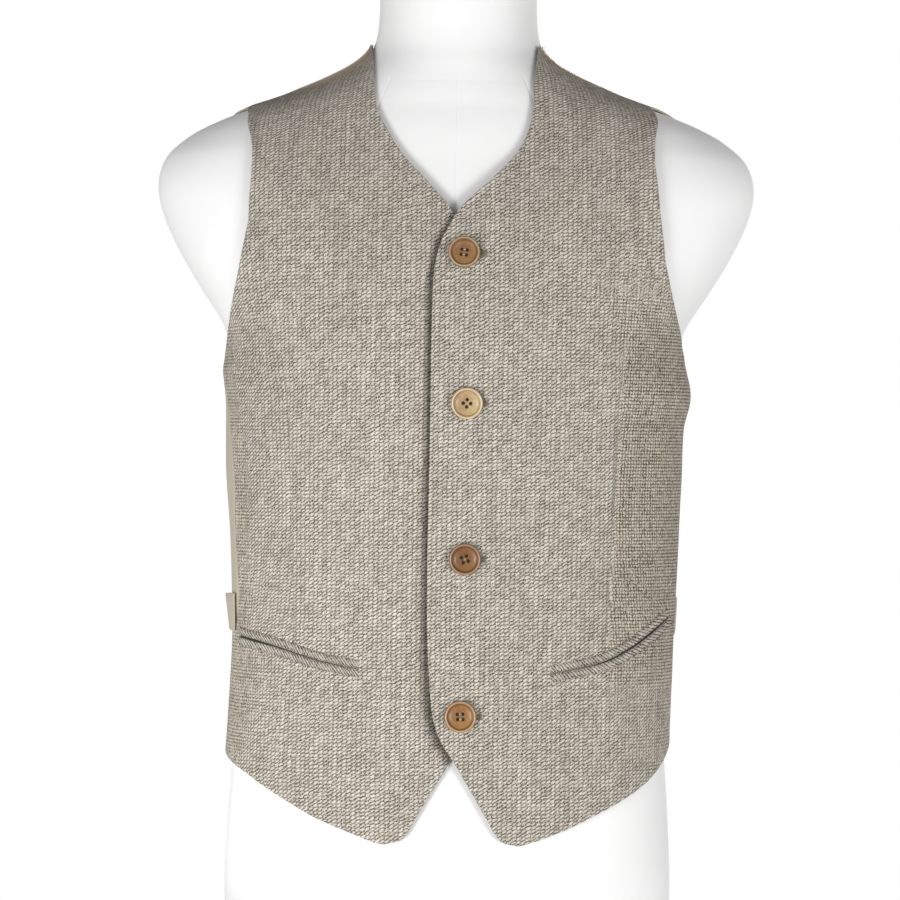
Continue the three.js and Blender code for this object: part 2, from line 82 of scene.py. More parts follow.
# How far the waistcoat's inner face stands off the form on each side, in front and behind.
EASE = rows(
    "z right left front back",
    (100, 2.5, 2.5, 3.5, 4.5),
    (180, 4.5, 3, 3.5, 6),
    (216, 6, 6.8, 4, 8.5),
    (247, 6.8, 10, 5, 10.5),
    (294, 8.3, 13, 6, 11.5),
    (341, 7.6, 12.2, 5, 10),
    (388, 6.2, 8.8, 4, 7),
    (430, 3.2, 6.2, 3.2, 5),
    (450, 2.4, 9.4, 3, 4.6),
    (460, 3.2, 9.2, 3, 4.4),
    (470, 4.2, 7.2, 3, 4.2),
    (482, 2.9, 5, 3, 4),
    (520, 2.6, 3.2, 3.6, 3.5),
    (575, 2.4, 2.4, 4.6, 3),
    (614, 2.2, 2.2, 4.6, 2.6),
    (650, 2.2, 2.2, 3.2, 3),
    (676, 2, 2, 2.4, 2.8),
    (704, 1.6, 1.6, 2.2, 2),
    (732, 1.6, 1.6, 2, 1.8),
)


def along(table, key, column, at):
    """A column read at places in the key column. Between two rows it is a cubic whose slope at each
    row is that of the chord between the row's neighbours. Past the ends it keeps the end's value."""
    x, y = table[key], table[column]
    k = np.arange(len(x))
    before, after = np.maximum(k - 1, 0), np.minimum(k + 1, len(x) - 1)
    slope = (y[after] - y[before]) / (x[after] - x[before])
    at = np.clip(at, x[0], x[-1])
    i = np.clip(np.searchsorted(x, at, side="right") - 1, 0, len(x) - 2)
    step = x[i + 1] - x[i]
    t = (at - x[i]) / step
    bend = t * (1 - t) * step * ((1 - t) * slope[i] - t * slope[i + 1])
    return y[i] + (y[i + 1] - y[i]) * t * t * (3 - 2 * t) + bend


def mix(a, b, t):
    """From a at t = 0 to b at t = 1, in a straight line."""
    return a + (b - a) * t


def smooth(start, end, at):
    """0 on start's side, 1 on end's, and between them 3 t squared less 2 t cubed. Start may be the
    larger of the two, and then it falls as at grows."""
    t = np.clip((at - start) / (end - start), 0, 1)
    return t * t * (3 - 2 * t)


def section(z, cloth, hand):
    """Half width, depth in front, depth behind and roundness of a level section at height z."""
    sizes = [along(FORM, "z", name, z) for name in ("side", "front", "back", "round")]
    if cloth:
        for k, name in enumerate((hand, "front", "back")):
            sizes[k] = sizes[k] + along(EASE, "z", name, z)
    return sizes


def ring(angle, z, cloth=True):
    """The point at an angle on the level section at z, which is a superellipse: its reach is
    (|sin / half width| ^ n + |cos / depth| ^ n) ^ (-1 / n), with n the roundness."""
    angle, z = np.broadcast_arrays(np.asarray(angle, float), np.asarray(z, float))
    right, left = section(z, cloth, "right"), section(z, cloth, "left")
    side = np.where(angle < 0, right[0], left[0])
    across, ahead = np.sin(np.radians(angle)), np.cos(np.radians(angle))
    depth, n = np.where(ahead > 0, left[1], left[2]), left[3]
    reach = (np.abs(across / side) ** n + np.abs(ahead / depth) ** n) ** (-1 / n)
    return np.stack([reach * across, -reach * ahead, z], -1)


def facing(angle, z, cloth=True):
    """The outward unit normal: the cross product of the steps round and up the surface."""
    turn = ring(angle + 0.5, z, cloth) - ring(angle - 0.5, z, cloth)
    rise = ring(angle, z + 0.5, cloth) - ring(angle, z - 0.5, cloth)
    normal = np.cross(turn, rise)
    return normal / np.linalg.norm(normal, axis=-1, keepdims=True)


def place(angle, z, out, cloth=True):
    """The point out millimetres off the surface at an angle and height."""
    return ring(angle, z, cloth) + facing(angle, z, cloth) * np.asarray(out, float)[..., None]


def piece(name, points, faces, finish, uv=None, **shares):
    """A mesh object from points in millimetres and arrays of faces, one array for each face size.
    Shares are numbers from 0 to 1 at each point that its material reads."""
    mesh = bpy.data.meshes.new(name)
    points = np.asarray(points, float).reshape(-1, 3)
    loops = np.concatenate([f.ravel() for f in faces])
    sizes = np.concatenate([np.full(len(f), f.shape[1]) for f in faces])
    mesh.vertices.add(len(points))
    mesh.vertices.foreach_set("co", (points / 1000).astype(np.float32).ravel())
    mesh.loops.add(len(loops))
    mesh.loops.foreach_set("vertex_index", loops.astype(np.int32))
    mesh.polygons.add(len(sizes))
    mesh.polygons.foreach_set("loop_start", (np.cumsum(sizes) - sizes).astype(np.int32))
    mesh.update(calc_edges=True)
    mesh.shade_smooth()
    if uv is not None:
        layer = mesh.uv_layers.new(name="cloth")
        layer.uv.foreach_set("vector", np.asarray(uv, np.float32).reshape(-1, 2)[loops].ravel())
    for key, values in shares.items():
        layer = mesh.attributes.new(key, "FLOAT", "POINT")
        layer.data.foreach_set("value", np.asarray(values, np.float32).ravel())
    mesh.materials.append(finish)
    made = bpy.data.objects.new(name, mesh)
    bpy.context.scene.collection.objects.link(made)
    return made


class Value:
    """A number that flows through a material's nodes. Python's operators add Math nodes."""

    def __init__(self, finish, socket):
        self.finish, self.socket = finish, socket

    def math(self, operation, *others):
        settings = {"operation": operation}
        return self.finish.node("Math", settings, dict(enumerate((self, *others))))

    def __add__(self, other):
        return self.math("ADD", other)

    def __sub__(self, other):
        return self.math("SUBTRACT", other)

    def __mul__(self, other):
        return self.math("MULTIPLY", other)

    def __truediv__(self, other):
        return self.math("DIVIDE", other)

    def __rsub__(self, other):
        return self * -1 + other

    __radd__, __rmul__ = __add__, __mul__

    def wave(self):
        """A smooth wave between 0 and 1 that repeats at each whole number and is 1 there."""
        return (self * (2 * np.pi)).math("COSINE") * 0.5 + 0.5

    def rise(self, start, end):
        """0 up to start, 1 from end on, smooth between."""
        settings = {"interpolation_type": "SMOOTHSTEP"}
        return self.finish.node("MapRange", settings, {0: self, 1: start, 2: end})


class Finish:
    """A material being made: one Principled shader and the nodes that feed it."""

    def __init__(self, name, **constants):
        self.material = bpy.data.materials.new(name)
        self.material.use_nodes = True
        self.tree = self.material.node_tree
        self.shader = self.tree.nodes["Principled BSDF"]
        for socket, value in constants.items():
            self.shader.inputs[socket.replace("_", " ")].default_value = value

    def node(self, kind, settings=None, inputs=None, output=0):
        """Adds a node of a kind, sets its settings, then its sockets, and gives one output."""
        made = self.tree.nodes.new("ShaderNode" + kind)
        for key, value in (settings or {}).items():
            setattr(made, key, value)
        for key, value in (inputs or {}).items():
            if isinstance(value, Value):
                self.tree.links.new(value.socket, made.inputs[key])
            else:
                made.inputs[key].default_value = value
        return Value(self, made.outputs[output])

    def noise(self, where, scale, detail=2.0, rough=0.5):
        """Smooth noise about 0.5, with a number of lumps to each unit of where."""
        inputs = {"Vector": where, "Scale": scale, "Detail": detail, "Roughness": rough}
        return self.node("TexNoise", None, inputs)

    def point(self, x, y, z=0.0):
        """A vector from three values."""
        return self.node("CombineXYZ", None, {0: x, 1: y, 2: z})

    def blend(self, share, a, b):
        """Colour a at share 0, colour b at share 1."""
        colours = {6: (*a, 1) if isinstance(a, tuple) else a, 7: (*b, 1) if isinstance(b, tuple) else b}
        return self.node("Mix", {"data_type": "RGBA"}, {0: share, **colours}, 2)

    def paint(self, **links):
        """Joins values to the shader's sockets and returns the material."""
        for socket, value in links.items():
            self.tree.links.new(value.socket, self.shader.inputs[socket.replace("_", " ")])
        return self.material

    def bump(self, height, depth, strength=1.0):
        """A surface normal from a height between 0 and 1 that stands for depth metres."""
        inputs = {"Strength": strength, "Distance": depth, "Height": height}
        return self.node("Bump", None, inputs)


def object_place(finish):
    """The three coordinates of a point on the piece, in metres, and the point itself."""
    where = finish.node("TexCoord", None, None, 3)
    return [finish.node("SeparateXYZ", None, {0: where}, k) for k in range(3)] + [where]


def jersey_finish():
    """White knitted jersey: fine ribs 0.9 mm apart round the body, and a faint grey unevenness."""
    f = Finish("form_jersey", Roughness=0.82, Sheen_Weight=0.25, Sheen_Roughness=0.5)
    x, y, z, where = object_place(f)
    ribs = (z * (1 / 0.0009)).wave() * 0.6 + f.noise(where, 900.0) * 0.4
    cloud = f.noise(where, 11.0, 4.0)
    colour = f.blend(cloud.rise(0.35, 0.7), (0.925, 0.925, 0.922), (0.965, 0.965, 0.96))
    return f.paint(Base_Color=colour, Normal=f.bump(ribs, 0.00012, 0.5))


FORM_TOP = 806
FORM_CHAMFER = 5
SEAM_ANGLES = (0, 40, 90, 140, 180, 220, 270, 320)
NECK_SEAM_Z = 693
SEAM_DEPTH, SEAM_TURN, SEAM_RISE = 0.5, 0.25, 0.9
NECK_SEAM_SHARE = 0.2
spread = np.arange(0, 360, 1.9)
near = np.array([-0.55, -0.28, 0, 0.28, 0.55])
spread = spread[np.min([np.abs((spread - a + 180) % 360 - 180) for a in SEAM_ANGLES], 0) > 0.9]
form_angles = np.sort(np.concatenate([spread, (np.array(SEAM_ANGLES)[:, None] + near).ravel() % 360]))
form_heights = np.concatenate(
    [
        FORM_CHAMFER * (1 - np.cos(np.linspace(0, np.pi / 2, 6))),
        np.arange(8, 520, 4),
        np.arange(520, 690, 2),
        NECK_SEAM_Z + np.array([-1.8, -0.9, 0, 0.9, 1.8]),
        np.arange(697, 799, 3),
        FORM_TOP - FORM_CHAMFER * (1 - np.sin(np.linspace(0, np.pi / 2, 6))),
    ]
)
a, h = form_angles[None, :], form_heights[:, None]
seam = np.zeros(np.broadcast(a, h).shape)
for angle in SEAM_ANGLES:
    turn = (a - angle + 180) % 360 - 180
    seam += np.exp(-((turn / SEAM_TURN) ** 2))
neck_seam = NECK_SEAM_SHARE * np.exp(-(((h - NECK_SEAM_Z) / SEAM_RISE) ** 2)) + 0 * a
seam = np.maximum(seam * (h < NECK_SEAM_Z + 2), neck_seam)
base = np.clip(h / FORM_CHAMFER, 0, 1)
top = np.clip((FORM_TOP - h) / FORM_CHAMFER, 0, 1)
shrink = 1 - 0.025 * (1 - np.sqrt(1 - (1 - base) ** 2))
shrink = shrink * (1 - 0.07 * (1 - np.sqrt(1 - (1 - top) ** 2)))
shell = place(a + 0 * h, h + 0 * a, -SEAM_DEPTH * seam, False)
shell[..., :2] *= shrink[..., None]
shell[..., 2] = h
foot = np.stack([shell[0] * (k, k, 1) for k in (0.02, 0.4, 0.8)])
lid = np.stack([shell[-1] * (k, k, 1) for k in (0.97, 0.8, 0.4, 0.02)])
shell = np.concatenate([foot, shell, lid])
count, turns = shell.shape[:2]
index = np.arange(count * turns).reshape(count, turns)
beside = np.roll(index, -1, axis=1)
quads = np.stack([index[:-1], beside[:-1], beside[1:], index[1:]], -1).reshape(-1, 4)
ends = [index[0][::-1][None, :], index[-1][None, :]]
form_cover = piece("form_cover", shell, [quads, *ends], jersey_finish())
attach(form_cover, "root")
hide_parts("dress_form")


# The two fronts: coarse wool tweed, cut with the grain straight down the middle, each shaped by a
# long dart, with turned and pressed edges. The wearer's left front laps over the right one.
TWEED = 2.0
SEAM_GAP = 0.5
LAYER_GAP = 0.6
FRONT_EDGE = rows(
    "z right left",
    (113, 50, 50),
    (114.6, 41.5, 41.5),
    (119.8, 34.5, 34.5),
    (133, 26.5, 26.5),
    (148, 18, 18),
    (163, 9, 9),
    (178, 0, 0),
    (190, -8, -8),
    (208, -14.5, -14.5),
    (235, -17, -17),
    (320, -18, -18),
    (411, -17.2, -17.2),
    (505, -17, -17),
    (545, -15.8, -15.8),
    (559, -13.2, -13.2),
    (570, -9.5, -9.5),
    (580, -4, -4),
    (590, 1.5, 1.5),
    (602, 11.5, 13),
    (611, 20, 23),
    (619, 27.3, 31),
    (627, 35, 38.5),
    (635.5, 42, 45.2),
    (645, 48.4, 50.8),
    (653, 52.8, 54),
    (661, 57, 56),
    (669, 60.5, 57.2),
    (680, 62.8, 57.8),
    (695, 63.9, 58.3),
    (710, 65, 60.2),
    (722.5, 66, 61.2),
)
HEM = rows(
    "angle right left",
    (20, 113, 113),
    (27, 114.5, 113.4),
    (34, 120.2, 118.3),
    (42, 127.4, 125.8),
    (48, 133.8, 132.8),
    (59, 148.8, 147),
    (68.7, 161.4, 160.8),
    (75, 167.4, 170.3),
    (82, 172.8, 181),
    (88, 176.6, 189),
    (94, 178.6, 191),
)
OUTER = {
    "right": rows(
        "z angle",
        (176, 90),
        (240, 90),
        (262, 86),
        (276, 80),
        (300, 78),
        (345, 79),
        (392, 76.5),
        (436, 79.5),
        (456, 83.2),
        (466, 87.6),
        (472, 89.5),
        (473.3, 87.9),
        (476, 86),
        (480, 84),
        (486, 81.2),
        (492, 79.1),
        (499.5, 76.6),
        (510, 72.6),
        (521, 68.9),
        (531, 66.5),
        (543, 64.4),
        (555, 63),
        (568, 62),
        (583, 61.6),
        (598, 62.1),
        (614, 63),
        (630, 64.8),
        (642, 67),
        (658, 72.2),
        (668, 77.4),
        (675, 86),
    ),
    "left": rows(
        "z angle",
        (188, 92),
        (300, 92),
        (440, 92),
        (453, 91.3),
        (454.4, 89.6),
        (457.6, 88),
        (463, 86.4),
        (472, 84.1),
        (482, 81.4),
        (493, 78.1),
        (504, 74.2),
        (514.5, 70),
        (525, 66.8),
        (535, 64.7),
        (546, 63),
        (557, 61.8),
        (572, 61.3),
        (587, 61.2),
        (602, 61.6),
        (618, 62.5),
        (634, 64.2),
        (650, 67.6),
        (662, 71.8),
        (671, 76.4),
        (676, 80.5),
        (679, 84),
    ),
}
ARMHOLE_Z = {"right": 472, "left": 453}
DRIFT = {"right": -2.5, "left": 2.5}
DART = {"low_z": 257, "high_z": 484, "low_x": 117, "high_x": 126, "depth": 1.2, "share": 0.66, "take": 9}


def angle_at(x, z, hand):
    """The angle at which the front of the cloth at z is x to the side."""
    side, ahead, _, n = section(z, True, hand)
    return np.degrees(np.arctan2(x, ahead * np.maximum(1 - np.abs(x / side) ** n, 0) ** (1 / n)))


def front_grid(hand, share, up):
    """Angles and heights of a front drawn as the wearer's left one: share runs from the front edge
    to the outer edge, up is the outer edge's own height. The hem's rise fades with the cube of the
    height left, and the share at the dart is pulled to the dart's line."""
    outer, top_z = OUTER[hand], FRONT_EDGE["z"][-1]
    u, z_outer = share[None, :], up[:, None]
    v = (z_outer - outer["z"][0]) / (outer["z"][-1] - outer["z"][0])
    z_edge = mix(FRONT_EDGE["z"][0], top_z, v)

    def edge_angle(z):
        x = along(FRONT_EDGE, "z", hand, z) + DRIFT[hand] * (1 - smooth(200, 300, z))
        return angle_at(x, z, hand)

    start, end = edge_angle(z_edge), along(outer, "z", "angle", z_outer)
    low_angle = outer["angle"][0]
    point_z = FRONT_EDGE["z"][0]
    hem = along(HEM, "angle", hand, mix(edge_angle(point_z), low_angle, u))
    hem = hem - along(HEM, "angle", hand, low_angle) * u - point_z * (1 - u)
    z = mix(z_edge, z_outer, u) + hem * (1 - v) ** 3
    dart_t = (z - DART["low_z"]) / (DART["high_z"] - DART["low_z"])
    pull = smooth(150, DART["low_z"], z) * (1 - smooth(DART["high_z"], 560, z))
    dart_angle = angle_at(mix(DART["low_x"], DART["high_x"], dart_t), z, hand)
    middle = mix(mix(start, end, DART["share"]), dart_angle, pull)
    inner = mix(start, middle, u / DART["share"])
    angle = np.where(u < DART["share"], inner, mix(middle, end, (u - DART["share"]) / (1 - DART["share"])))
    return angle, z


def closed_wall(outside, inside, uv, curl):
    """Points, faces and uv of a wall between two grids. Its edge is half round: the grids' outermost
    points step curl inwards, and three loops carry the surface round the middle of the old edge."""
    high, wide = outside.shape[:2]
    middle = (outside + inside) / 2
    grids = [outside.copy(), inside.copy()]
    for grid in grids:
        for last, near_it in ((0, 1), (-1, -2)):
            for rim, inner in ((grid[last], grid[near_it]), (grid[:, last], grid[:, near_it])):
                step = inner - rim
                length = np.linalg.norm(step, axis=-1, keepdims=True)
                rim += step * np.minimum(curl / np.maximum(length, 1e-6), 0.55)
    i, j = np.arange(wide - 1), np.arange(high - 1)
    rim_j = np.concatenate([0 * i, j, 0 * i + high - 1, high - 1 - j])
    rim_i = np.concatenate([i, 0 * j + wide - 1, wide - 1 - i, 0 * j])
    upper, lower = grids[0][rim_j, rim_i], grids[1][rim_j, rim_i]
    centre = (upper + lower) / 2
    loops = [
        centre + (upper - centre) * np.cos(t) + (middle[rim_j, rim_i] - centre) * np.sin(t)
        for t in np.radians([45, 90, 135])
    ]
    points = np.concatenate([grids[0].reshape(-1, 3), grids[1].reshape(-1, 3), *loops])
    at = np.arange(high * wide).reshape(high, wide)
    quad = np.stack([at[:-1, :-1], at[:-1, 1:], at[1:, 1:], at[1:, :-1]], -1).reshape(-1, 4)
    size = high * wide
    faces = [quad, quad[:, ::-1] + size]
    rim_at = at[rim_j, rim_i]
    bands = [rim_at] + [2 * size + k * len(rim_at) + np.arange(len(rim_at)) for k in range(3)]
    bands.append(rim_at + size)
    for over, under in zip(bands[:-1], bands[1:]):
        faces.append(np.stack([under, np.roll(under, -1), np.roll(over, -1), over], -1))
    outward = uv[rim_j, rim_i] - uv[np.clip(rim_j, 1, high - 2), np.clip(rim_i, 1, wide - 2)]
    outward /= np.maximum(np.linalg.norm(outward, axis=-1, keepdims=True), 1e-6)
    rims = [uv[rim_j, rim_i] + outward * reach for reach in (0.5, 1.2, 1.9)]
    flat = np.concatenate([uv.reshape(-1, 2), uv.reshape(-1, 2), *rims])
    return points, faces, flat


# Lengths along the cloth from the middle line and from the hem's level, tabled over the whole body.
arc_angles, arc_heights = np.arange(-184, 185, 2.0), np.arange(96, 740, 2.0)
arc_points = ring(arc_angles[None, :], arc_heights[:, None])
round_arc = np.cumsum(np.linalg.norm(np.diff(arc_points, axis=1), axis=-1), axis=1)
round_arc = np.concatenate([0 * round_arc[:, :1], round_arc], axis=1)
round_arc -= round_arc[:, len(arc_angles) // 2][:, None]
rise_arc = np.cumsum(np.linalg.norm(np.diff(arc_points, axis=0), axis=-1), axis=0)
rise_arc = np.concatenate([0 * rise_arc[:1], rise_arc], axis=0)


def cloth_uv(angle, z):
    """Millimetres along the cloth round the body and up it, read between the tables' points."""
    x = np.clip((angle - arc_angles[0]) / 2, 0, len(arc_angles) - 1.001)
    y = np.clip((z - arc_heights[0]) / 2, 0, len(arc_heights) - 1.001)
    i, j = x.astype(int), y.astype(int)
    s, t = x - i, y - j

    def read(table):
        low = mix(table[j, i], table[j, i + 1], s)
        high = mix(table[j + 1, i], table[j + 1, i + 1], s)
        return mix(low, high, t)

    return np.stack([read(round_arc), read(rise_arc)], -1)


COLUMN_PITCH, ROW_PITCH = 3.67, 2.85


def tweed_finish(name="tweed", tint=1.0):
    """Wool tweed in a small broken weave: cream slubs in columns, which slant up to the right between
    dark gaps. A slub's height is a wave up the rows, with finer strands on it, times a wave across
    its column. Each column is shifted by its own noise, and other noise bends the yarns. Where side
    is 1 the height is a finer check instead, a wave across times a wave up, and the colours are darker
    and warmer, partly as painted shade on the fronts' sides. Painted shade also darkens the cloth by
    each point's share of it: in the trough where the top front laps over the under one, and on the
    fronts' inner faces."""
    f = Finish(name, Roughness=0.95, Sheen_Weight=0.03, Sheen_Roughness=0.5, Specular_IOR_Level=0.1)
    uv = f.node("UVMap", {"uv_map": "cloth"})
    across, up = (f.node("SeparateXYZ", None, {0: uv}, k) for k in range(2))
    slow = f.noise(uv, 0.11, 2.0)
    quick = f.noise(uv, 0.4, 2.0)
    column = across * (1 / COLUMN_PITCH) + (slow - 0.5) * 0.5 + (quick - 0.5) * 0.4
    number = column.math("FLOOR")
    in_column = column - number - 0.5
    shift = f.noise(f.point(number * 0.77, up * 0.035), 1.0, 2.0, 0.6)
    row = up * (1 / ROW_PITCH) + (f.noise(f.point(up, across), 0.35, 2.0) - 0.5) * 0.5
    slant = row + (shift - 0.5) * 0.9 - in_column * 0.66
    slub_number = f.point(number, slant.math("ROUND"))
    own = f.node("TexWhiteNoise", {"noise_dimensions": "2D"}, {"Vector": slub_number})
    body = in_column.wave()
    strands = (slant * 2 + own * 0.6).wave()
    slub = slant.wave() * 0.7 + strands * 0.3
    hair = f.noise(uv, 1.15, 1.0, 0.7)
    height = (slub * 0.85 + 0.15) * (body * 0.34 + 0.66) + (own - 0.5) * 0.16 + (hair - 0.5) * 1.55
    side = f.node("Attribute", {"attribute_name": "side"}, None, 2)
    check = (column * 1.35 + quick - 0.5).wave() * (row * 1.12 + (hair - 0.5) * 0.7).wave()
    small = check * 1.02 + 0.255 + (own - 0.5) * 0.15 + (hair - 0.5) * 1.3
    height = height * (1 - side) + small * side
    gap, mid, cream = (0.07, 0.058, 0.042), (0.40, 0.355, 0.295), (0.78, 0.73, 0.645)
    # Where side is 1 the colours turn darker and warmer, partly as painted shade on the fronts' sides.
    mid = f.blend(side, mid, (0.35, 0.305, 0.24))
    cream = f.blend(side, cream, (0.76, 0.69, 0.585))
    colour = f.blend(height.rise(0.17, 0.38), gap, mid)
    colour = f.blend(height.rise(0.38, 0.82), colour, cream)
    thread = f.noise(f.point(number * 0.9, up * 0.02), 1.0, 2.0)
    streak = f.noise(f.point(across * 0.6, up * 0.012), 1.0, 2.0)
    patch = f.noise(uv, 0.03, 3.0)
    # Painted shade: each point's share darkens the cloth, in the lap's trough and on the inner faces.
    hidden = 1 - f.node("Attribute", {"attribute_name": "hidden"}, None, 2)
    tone = (thread * 0.4 + streak * 0.32 + patch * 0.2 + 0.475) * (1 - side * 0.03) * tint * hidden
    shade = f.node("VectorMath", {"operation": "SCALE"}, {0: colour, "Scale": tone})
    return f.paint(Base_Color=shade, Normal=f.bump(height, 0.0006, 0.8))


def creases(table, angle, z):
    """How far the cloth sinks in soft creases. Each row is one: its middle, how it leans from upright
    in degrees, and its half length, half width and depth in millimetres. The depth fades along it
    as exp(-t ^ 4) and across it as exp(-s ^ 2)."""
    sink = 0 * z
    for middle, high, lean, length, width, depth in zip(*table.values()):
        across = np.radians(angle - middle) * np.linalg.norm(ring(middle, high)[:2])
        up = z - high
        c, s = np.cos(np.radians(lean)), np.sin(np.radians(lean))
        t, s = (up * c + across * s) / length, (across * c - up * s) / width
        sink = sink + depth * np.exp(-(t**4) - s**2)
    return sink


FRONT_CREASES = rows(
    "angle z lean length width depth",
    (-71, 395, 7, 95, 5, 1.1),
    (-58, 588, 62, 42, 5, 0.7),
    (-38, 566, 71, 38, 4, 0.6),
    (-79, 455, -38, 20, 4, 0.9),
    (-66, 330, 14, 40, 6, 0.8),
    (-20, 250, 20, 45, 6, 0.5),
    (74, 470, 30, 34, 5, 1.0),
    (80, 440, 48, 22, 4, 1.0),
    (63, 400, -6, 60, 6, 0.7),
    (48, 590, -55, 36, 5, 0.6),
    (30, 300, -15, 55, 7, 0.5),
    (77, 340, 8, 50, 6, 0.8),
)
tweed = tweed_finish()
# The top front comes down to the one below it between these distances from the middle.
LAP_NEAR, LAP_FAR = 24, 52
TROUGH_DEPTH, TROUGH_WIDTH, EDGE_ROLL = 1.9, 10, 0.7
# How much painted shade darkens the under front in the trough by the top front's edge, and the inner faces.
TROUGH_SHADE, INNER_FACE_SHADE = 0.62, 0.6
DART_GROOVE = 0.006
EDGE_PRESS, EDGE_PRESS_WIDTH, FRONT_WIDTH = 0.35, 1.2, 190


def eased(t, share):
    """From 0 to 1 with t, a share of the way from even steps to ones that are small at both ends."""
    return mix(t, smooth(0, 1, t), share)


for hand in ("left", "right"):
    outer = OUTER[hand]
    near_dart = DART["share"] + np.array([-0.012, -0.006, 0, 0.006, 0.012])
    shares = np.sort(np.concatenate([eased(np.linspace(0, 1, 142), 0.5), near_dart]))
    seam_z = np.linspace(outer["z"][0], ARMHOLE_Z[hand], 160, endpoint=False)
    armhole_z = mix(ARMHOLE_Z[hand], outer["z"][-1], eased(np.linspace(0, 1, 140), 0.6))
    angle, z = front_grid(hand, shares, np.concatenate([seam_z, armhole_z]))
    sewn = smooth(DART["low_z"] - 8, DART["low_z"], z) * smooth(DART["high_z"], DART["high_z"] - 60, z)
    dart = np.exp(-(((shares[None, :] - DART["share"]) / DART_GROOVE) ** 2)) * DART["depth"] * sewn
    uv = cloth_uv(angle, z)
    dart_t = np.clip((z - DART["low_z"]) / (DART["high_z"] - DART["low_z"]), 0, 1)
    uv[..., 0] += DART["take"] * np.sin(np.pi * dart_t) * (shares[None, :] > DART["share"])
    if hand == "right":
        angle, z, dart, uv = -angle[:, ::-1], z[:, ::-1], dart[:, ::-1], uv[:, ::-1] * (-1, 1)
    x = ring(angle, z)[..., 0]
    past_edge = x - along(FRONT_EDGE, "z", "left", z)
    if hand == "left":
        lift = (TWEED + LAYER_GAP) * (1 - smooth(LAP_NEAR, LAP_FAR, x))
        lift = lift + EDGE_ROLL * (1 - smooth(0, 5, past_edge))
        hidden = 0 * x
    else:
        trough = smooth(-TROUGH_WIDTH, -1, past_edge) * (1 - smooth(3, 14, past_edge))
        lift = -TROUGH_DEPTH * trough
        # Painted shade on the under front where it sinks beside the top front's edge.
        hidden = TROUGH_SHADE * smooth(-TROUGH_WIDTH + 2, 0, past_edge)
    beyond_dart = shares[None, ::-1] if hand == "right" else shares[None, :]
    # Side: where the weave is a finer check and the colours darker and warmer, partly as painted shade.
    if hand == "left":
        side = smooth(DART["share"], DART["share"] + 0.016, beyond_dart) * smooth(560, 500, z)
        side = side * mix(0.35, 0.93, smooth(215, 262, z))
    else:
        by_armhole = smooth(0.86, 0.9, beyond_dart) * smooth(520, 490, z)
        by_hem = smooth(0.72, 0.8, beyond_dart) * smooth(262, 250, z)
        side = np.minimum(by_armhole + by_hem, 1) * 0.65
    rim_gap = np.minimum(beyond_dart, 1 - beyond_dart) * FRONT_WIDTH
    pressed = EDGE_PRESS * np.exp(-((rim_gap / EDGE_PRESS_WIDTH) ** 2))
    lift = lift - dart - pressed - creases(FRONT_CREASES, angle, z)
    outside, inside = place(angle, z, lift + TWEED), place(angle, z, lift)
    points, faces, flat = closed_wall(outside, inside, uv, 0.8)
    rest = np.zeros(len(points) - 2 * z.size)
    # Painted shade on the inner faces, none on the rims.
    hidden = np.concatenate([hidden.ravel(), 0 * hidden.ravel() + INNER_FACE_SHADE, rest])
    side = np.concatenate([side.ravel(), side.ravel(), rest])
    front = piece("front_" + hand + "_tweed", points, faces, tweed, flat, hidden=hidden, side=side)
    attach(front, "root")
    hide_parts("front_" + hand)


# The two halves of the back: beige lining satin, joined down the middle and to the fronts at the side
# and shoulder seams, a little thinner than the tweed.
SATIN = 1.2
BACK_HEM_Z = 171
BACK_NECK_Z = 712
BACK_ARMHOLE = rows(
    "share angle z",
    (0, 90, 472),
    (0.05, 95, 473),
    (0.11, 100, 477),
    (0.18, 104.3, 486),
    (0.28, 108.3, 508),
    (0.42, 112.3, 545),
    (0.6, 114.5, 592),
    (0.77, 110.5, 633),
    (0.9, 101, 661),
    (1, 85, 677),
)
BACK_NECK = rows("angle z", (65, 722.5), (90, 725), (120, 721), (150, 715), (180, 712))


def gap_turn(angle, z):
    """The turn round the body that opens a seam's gap."""
    return np.degrees(SEAM_GAP / np.linalg.norm(ring(angle, z)[..., :2], axis=-1))


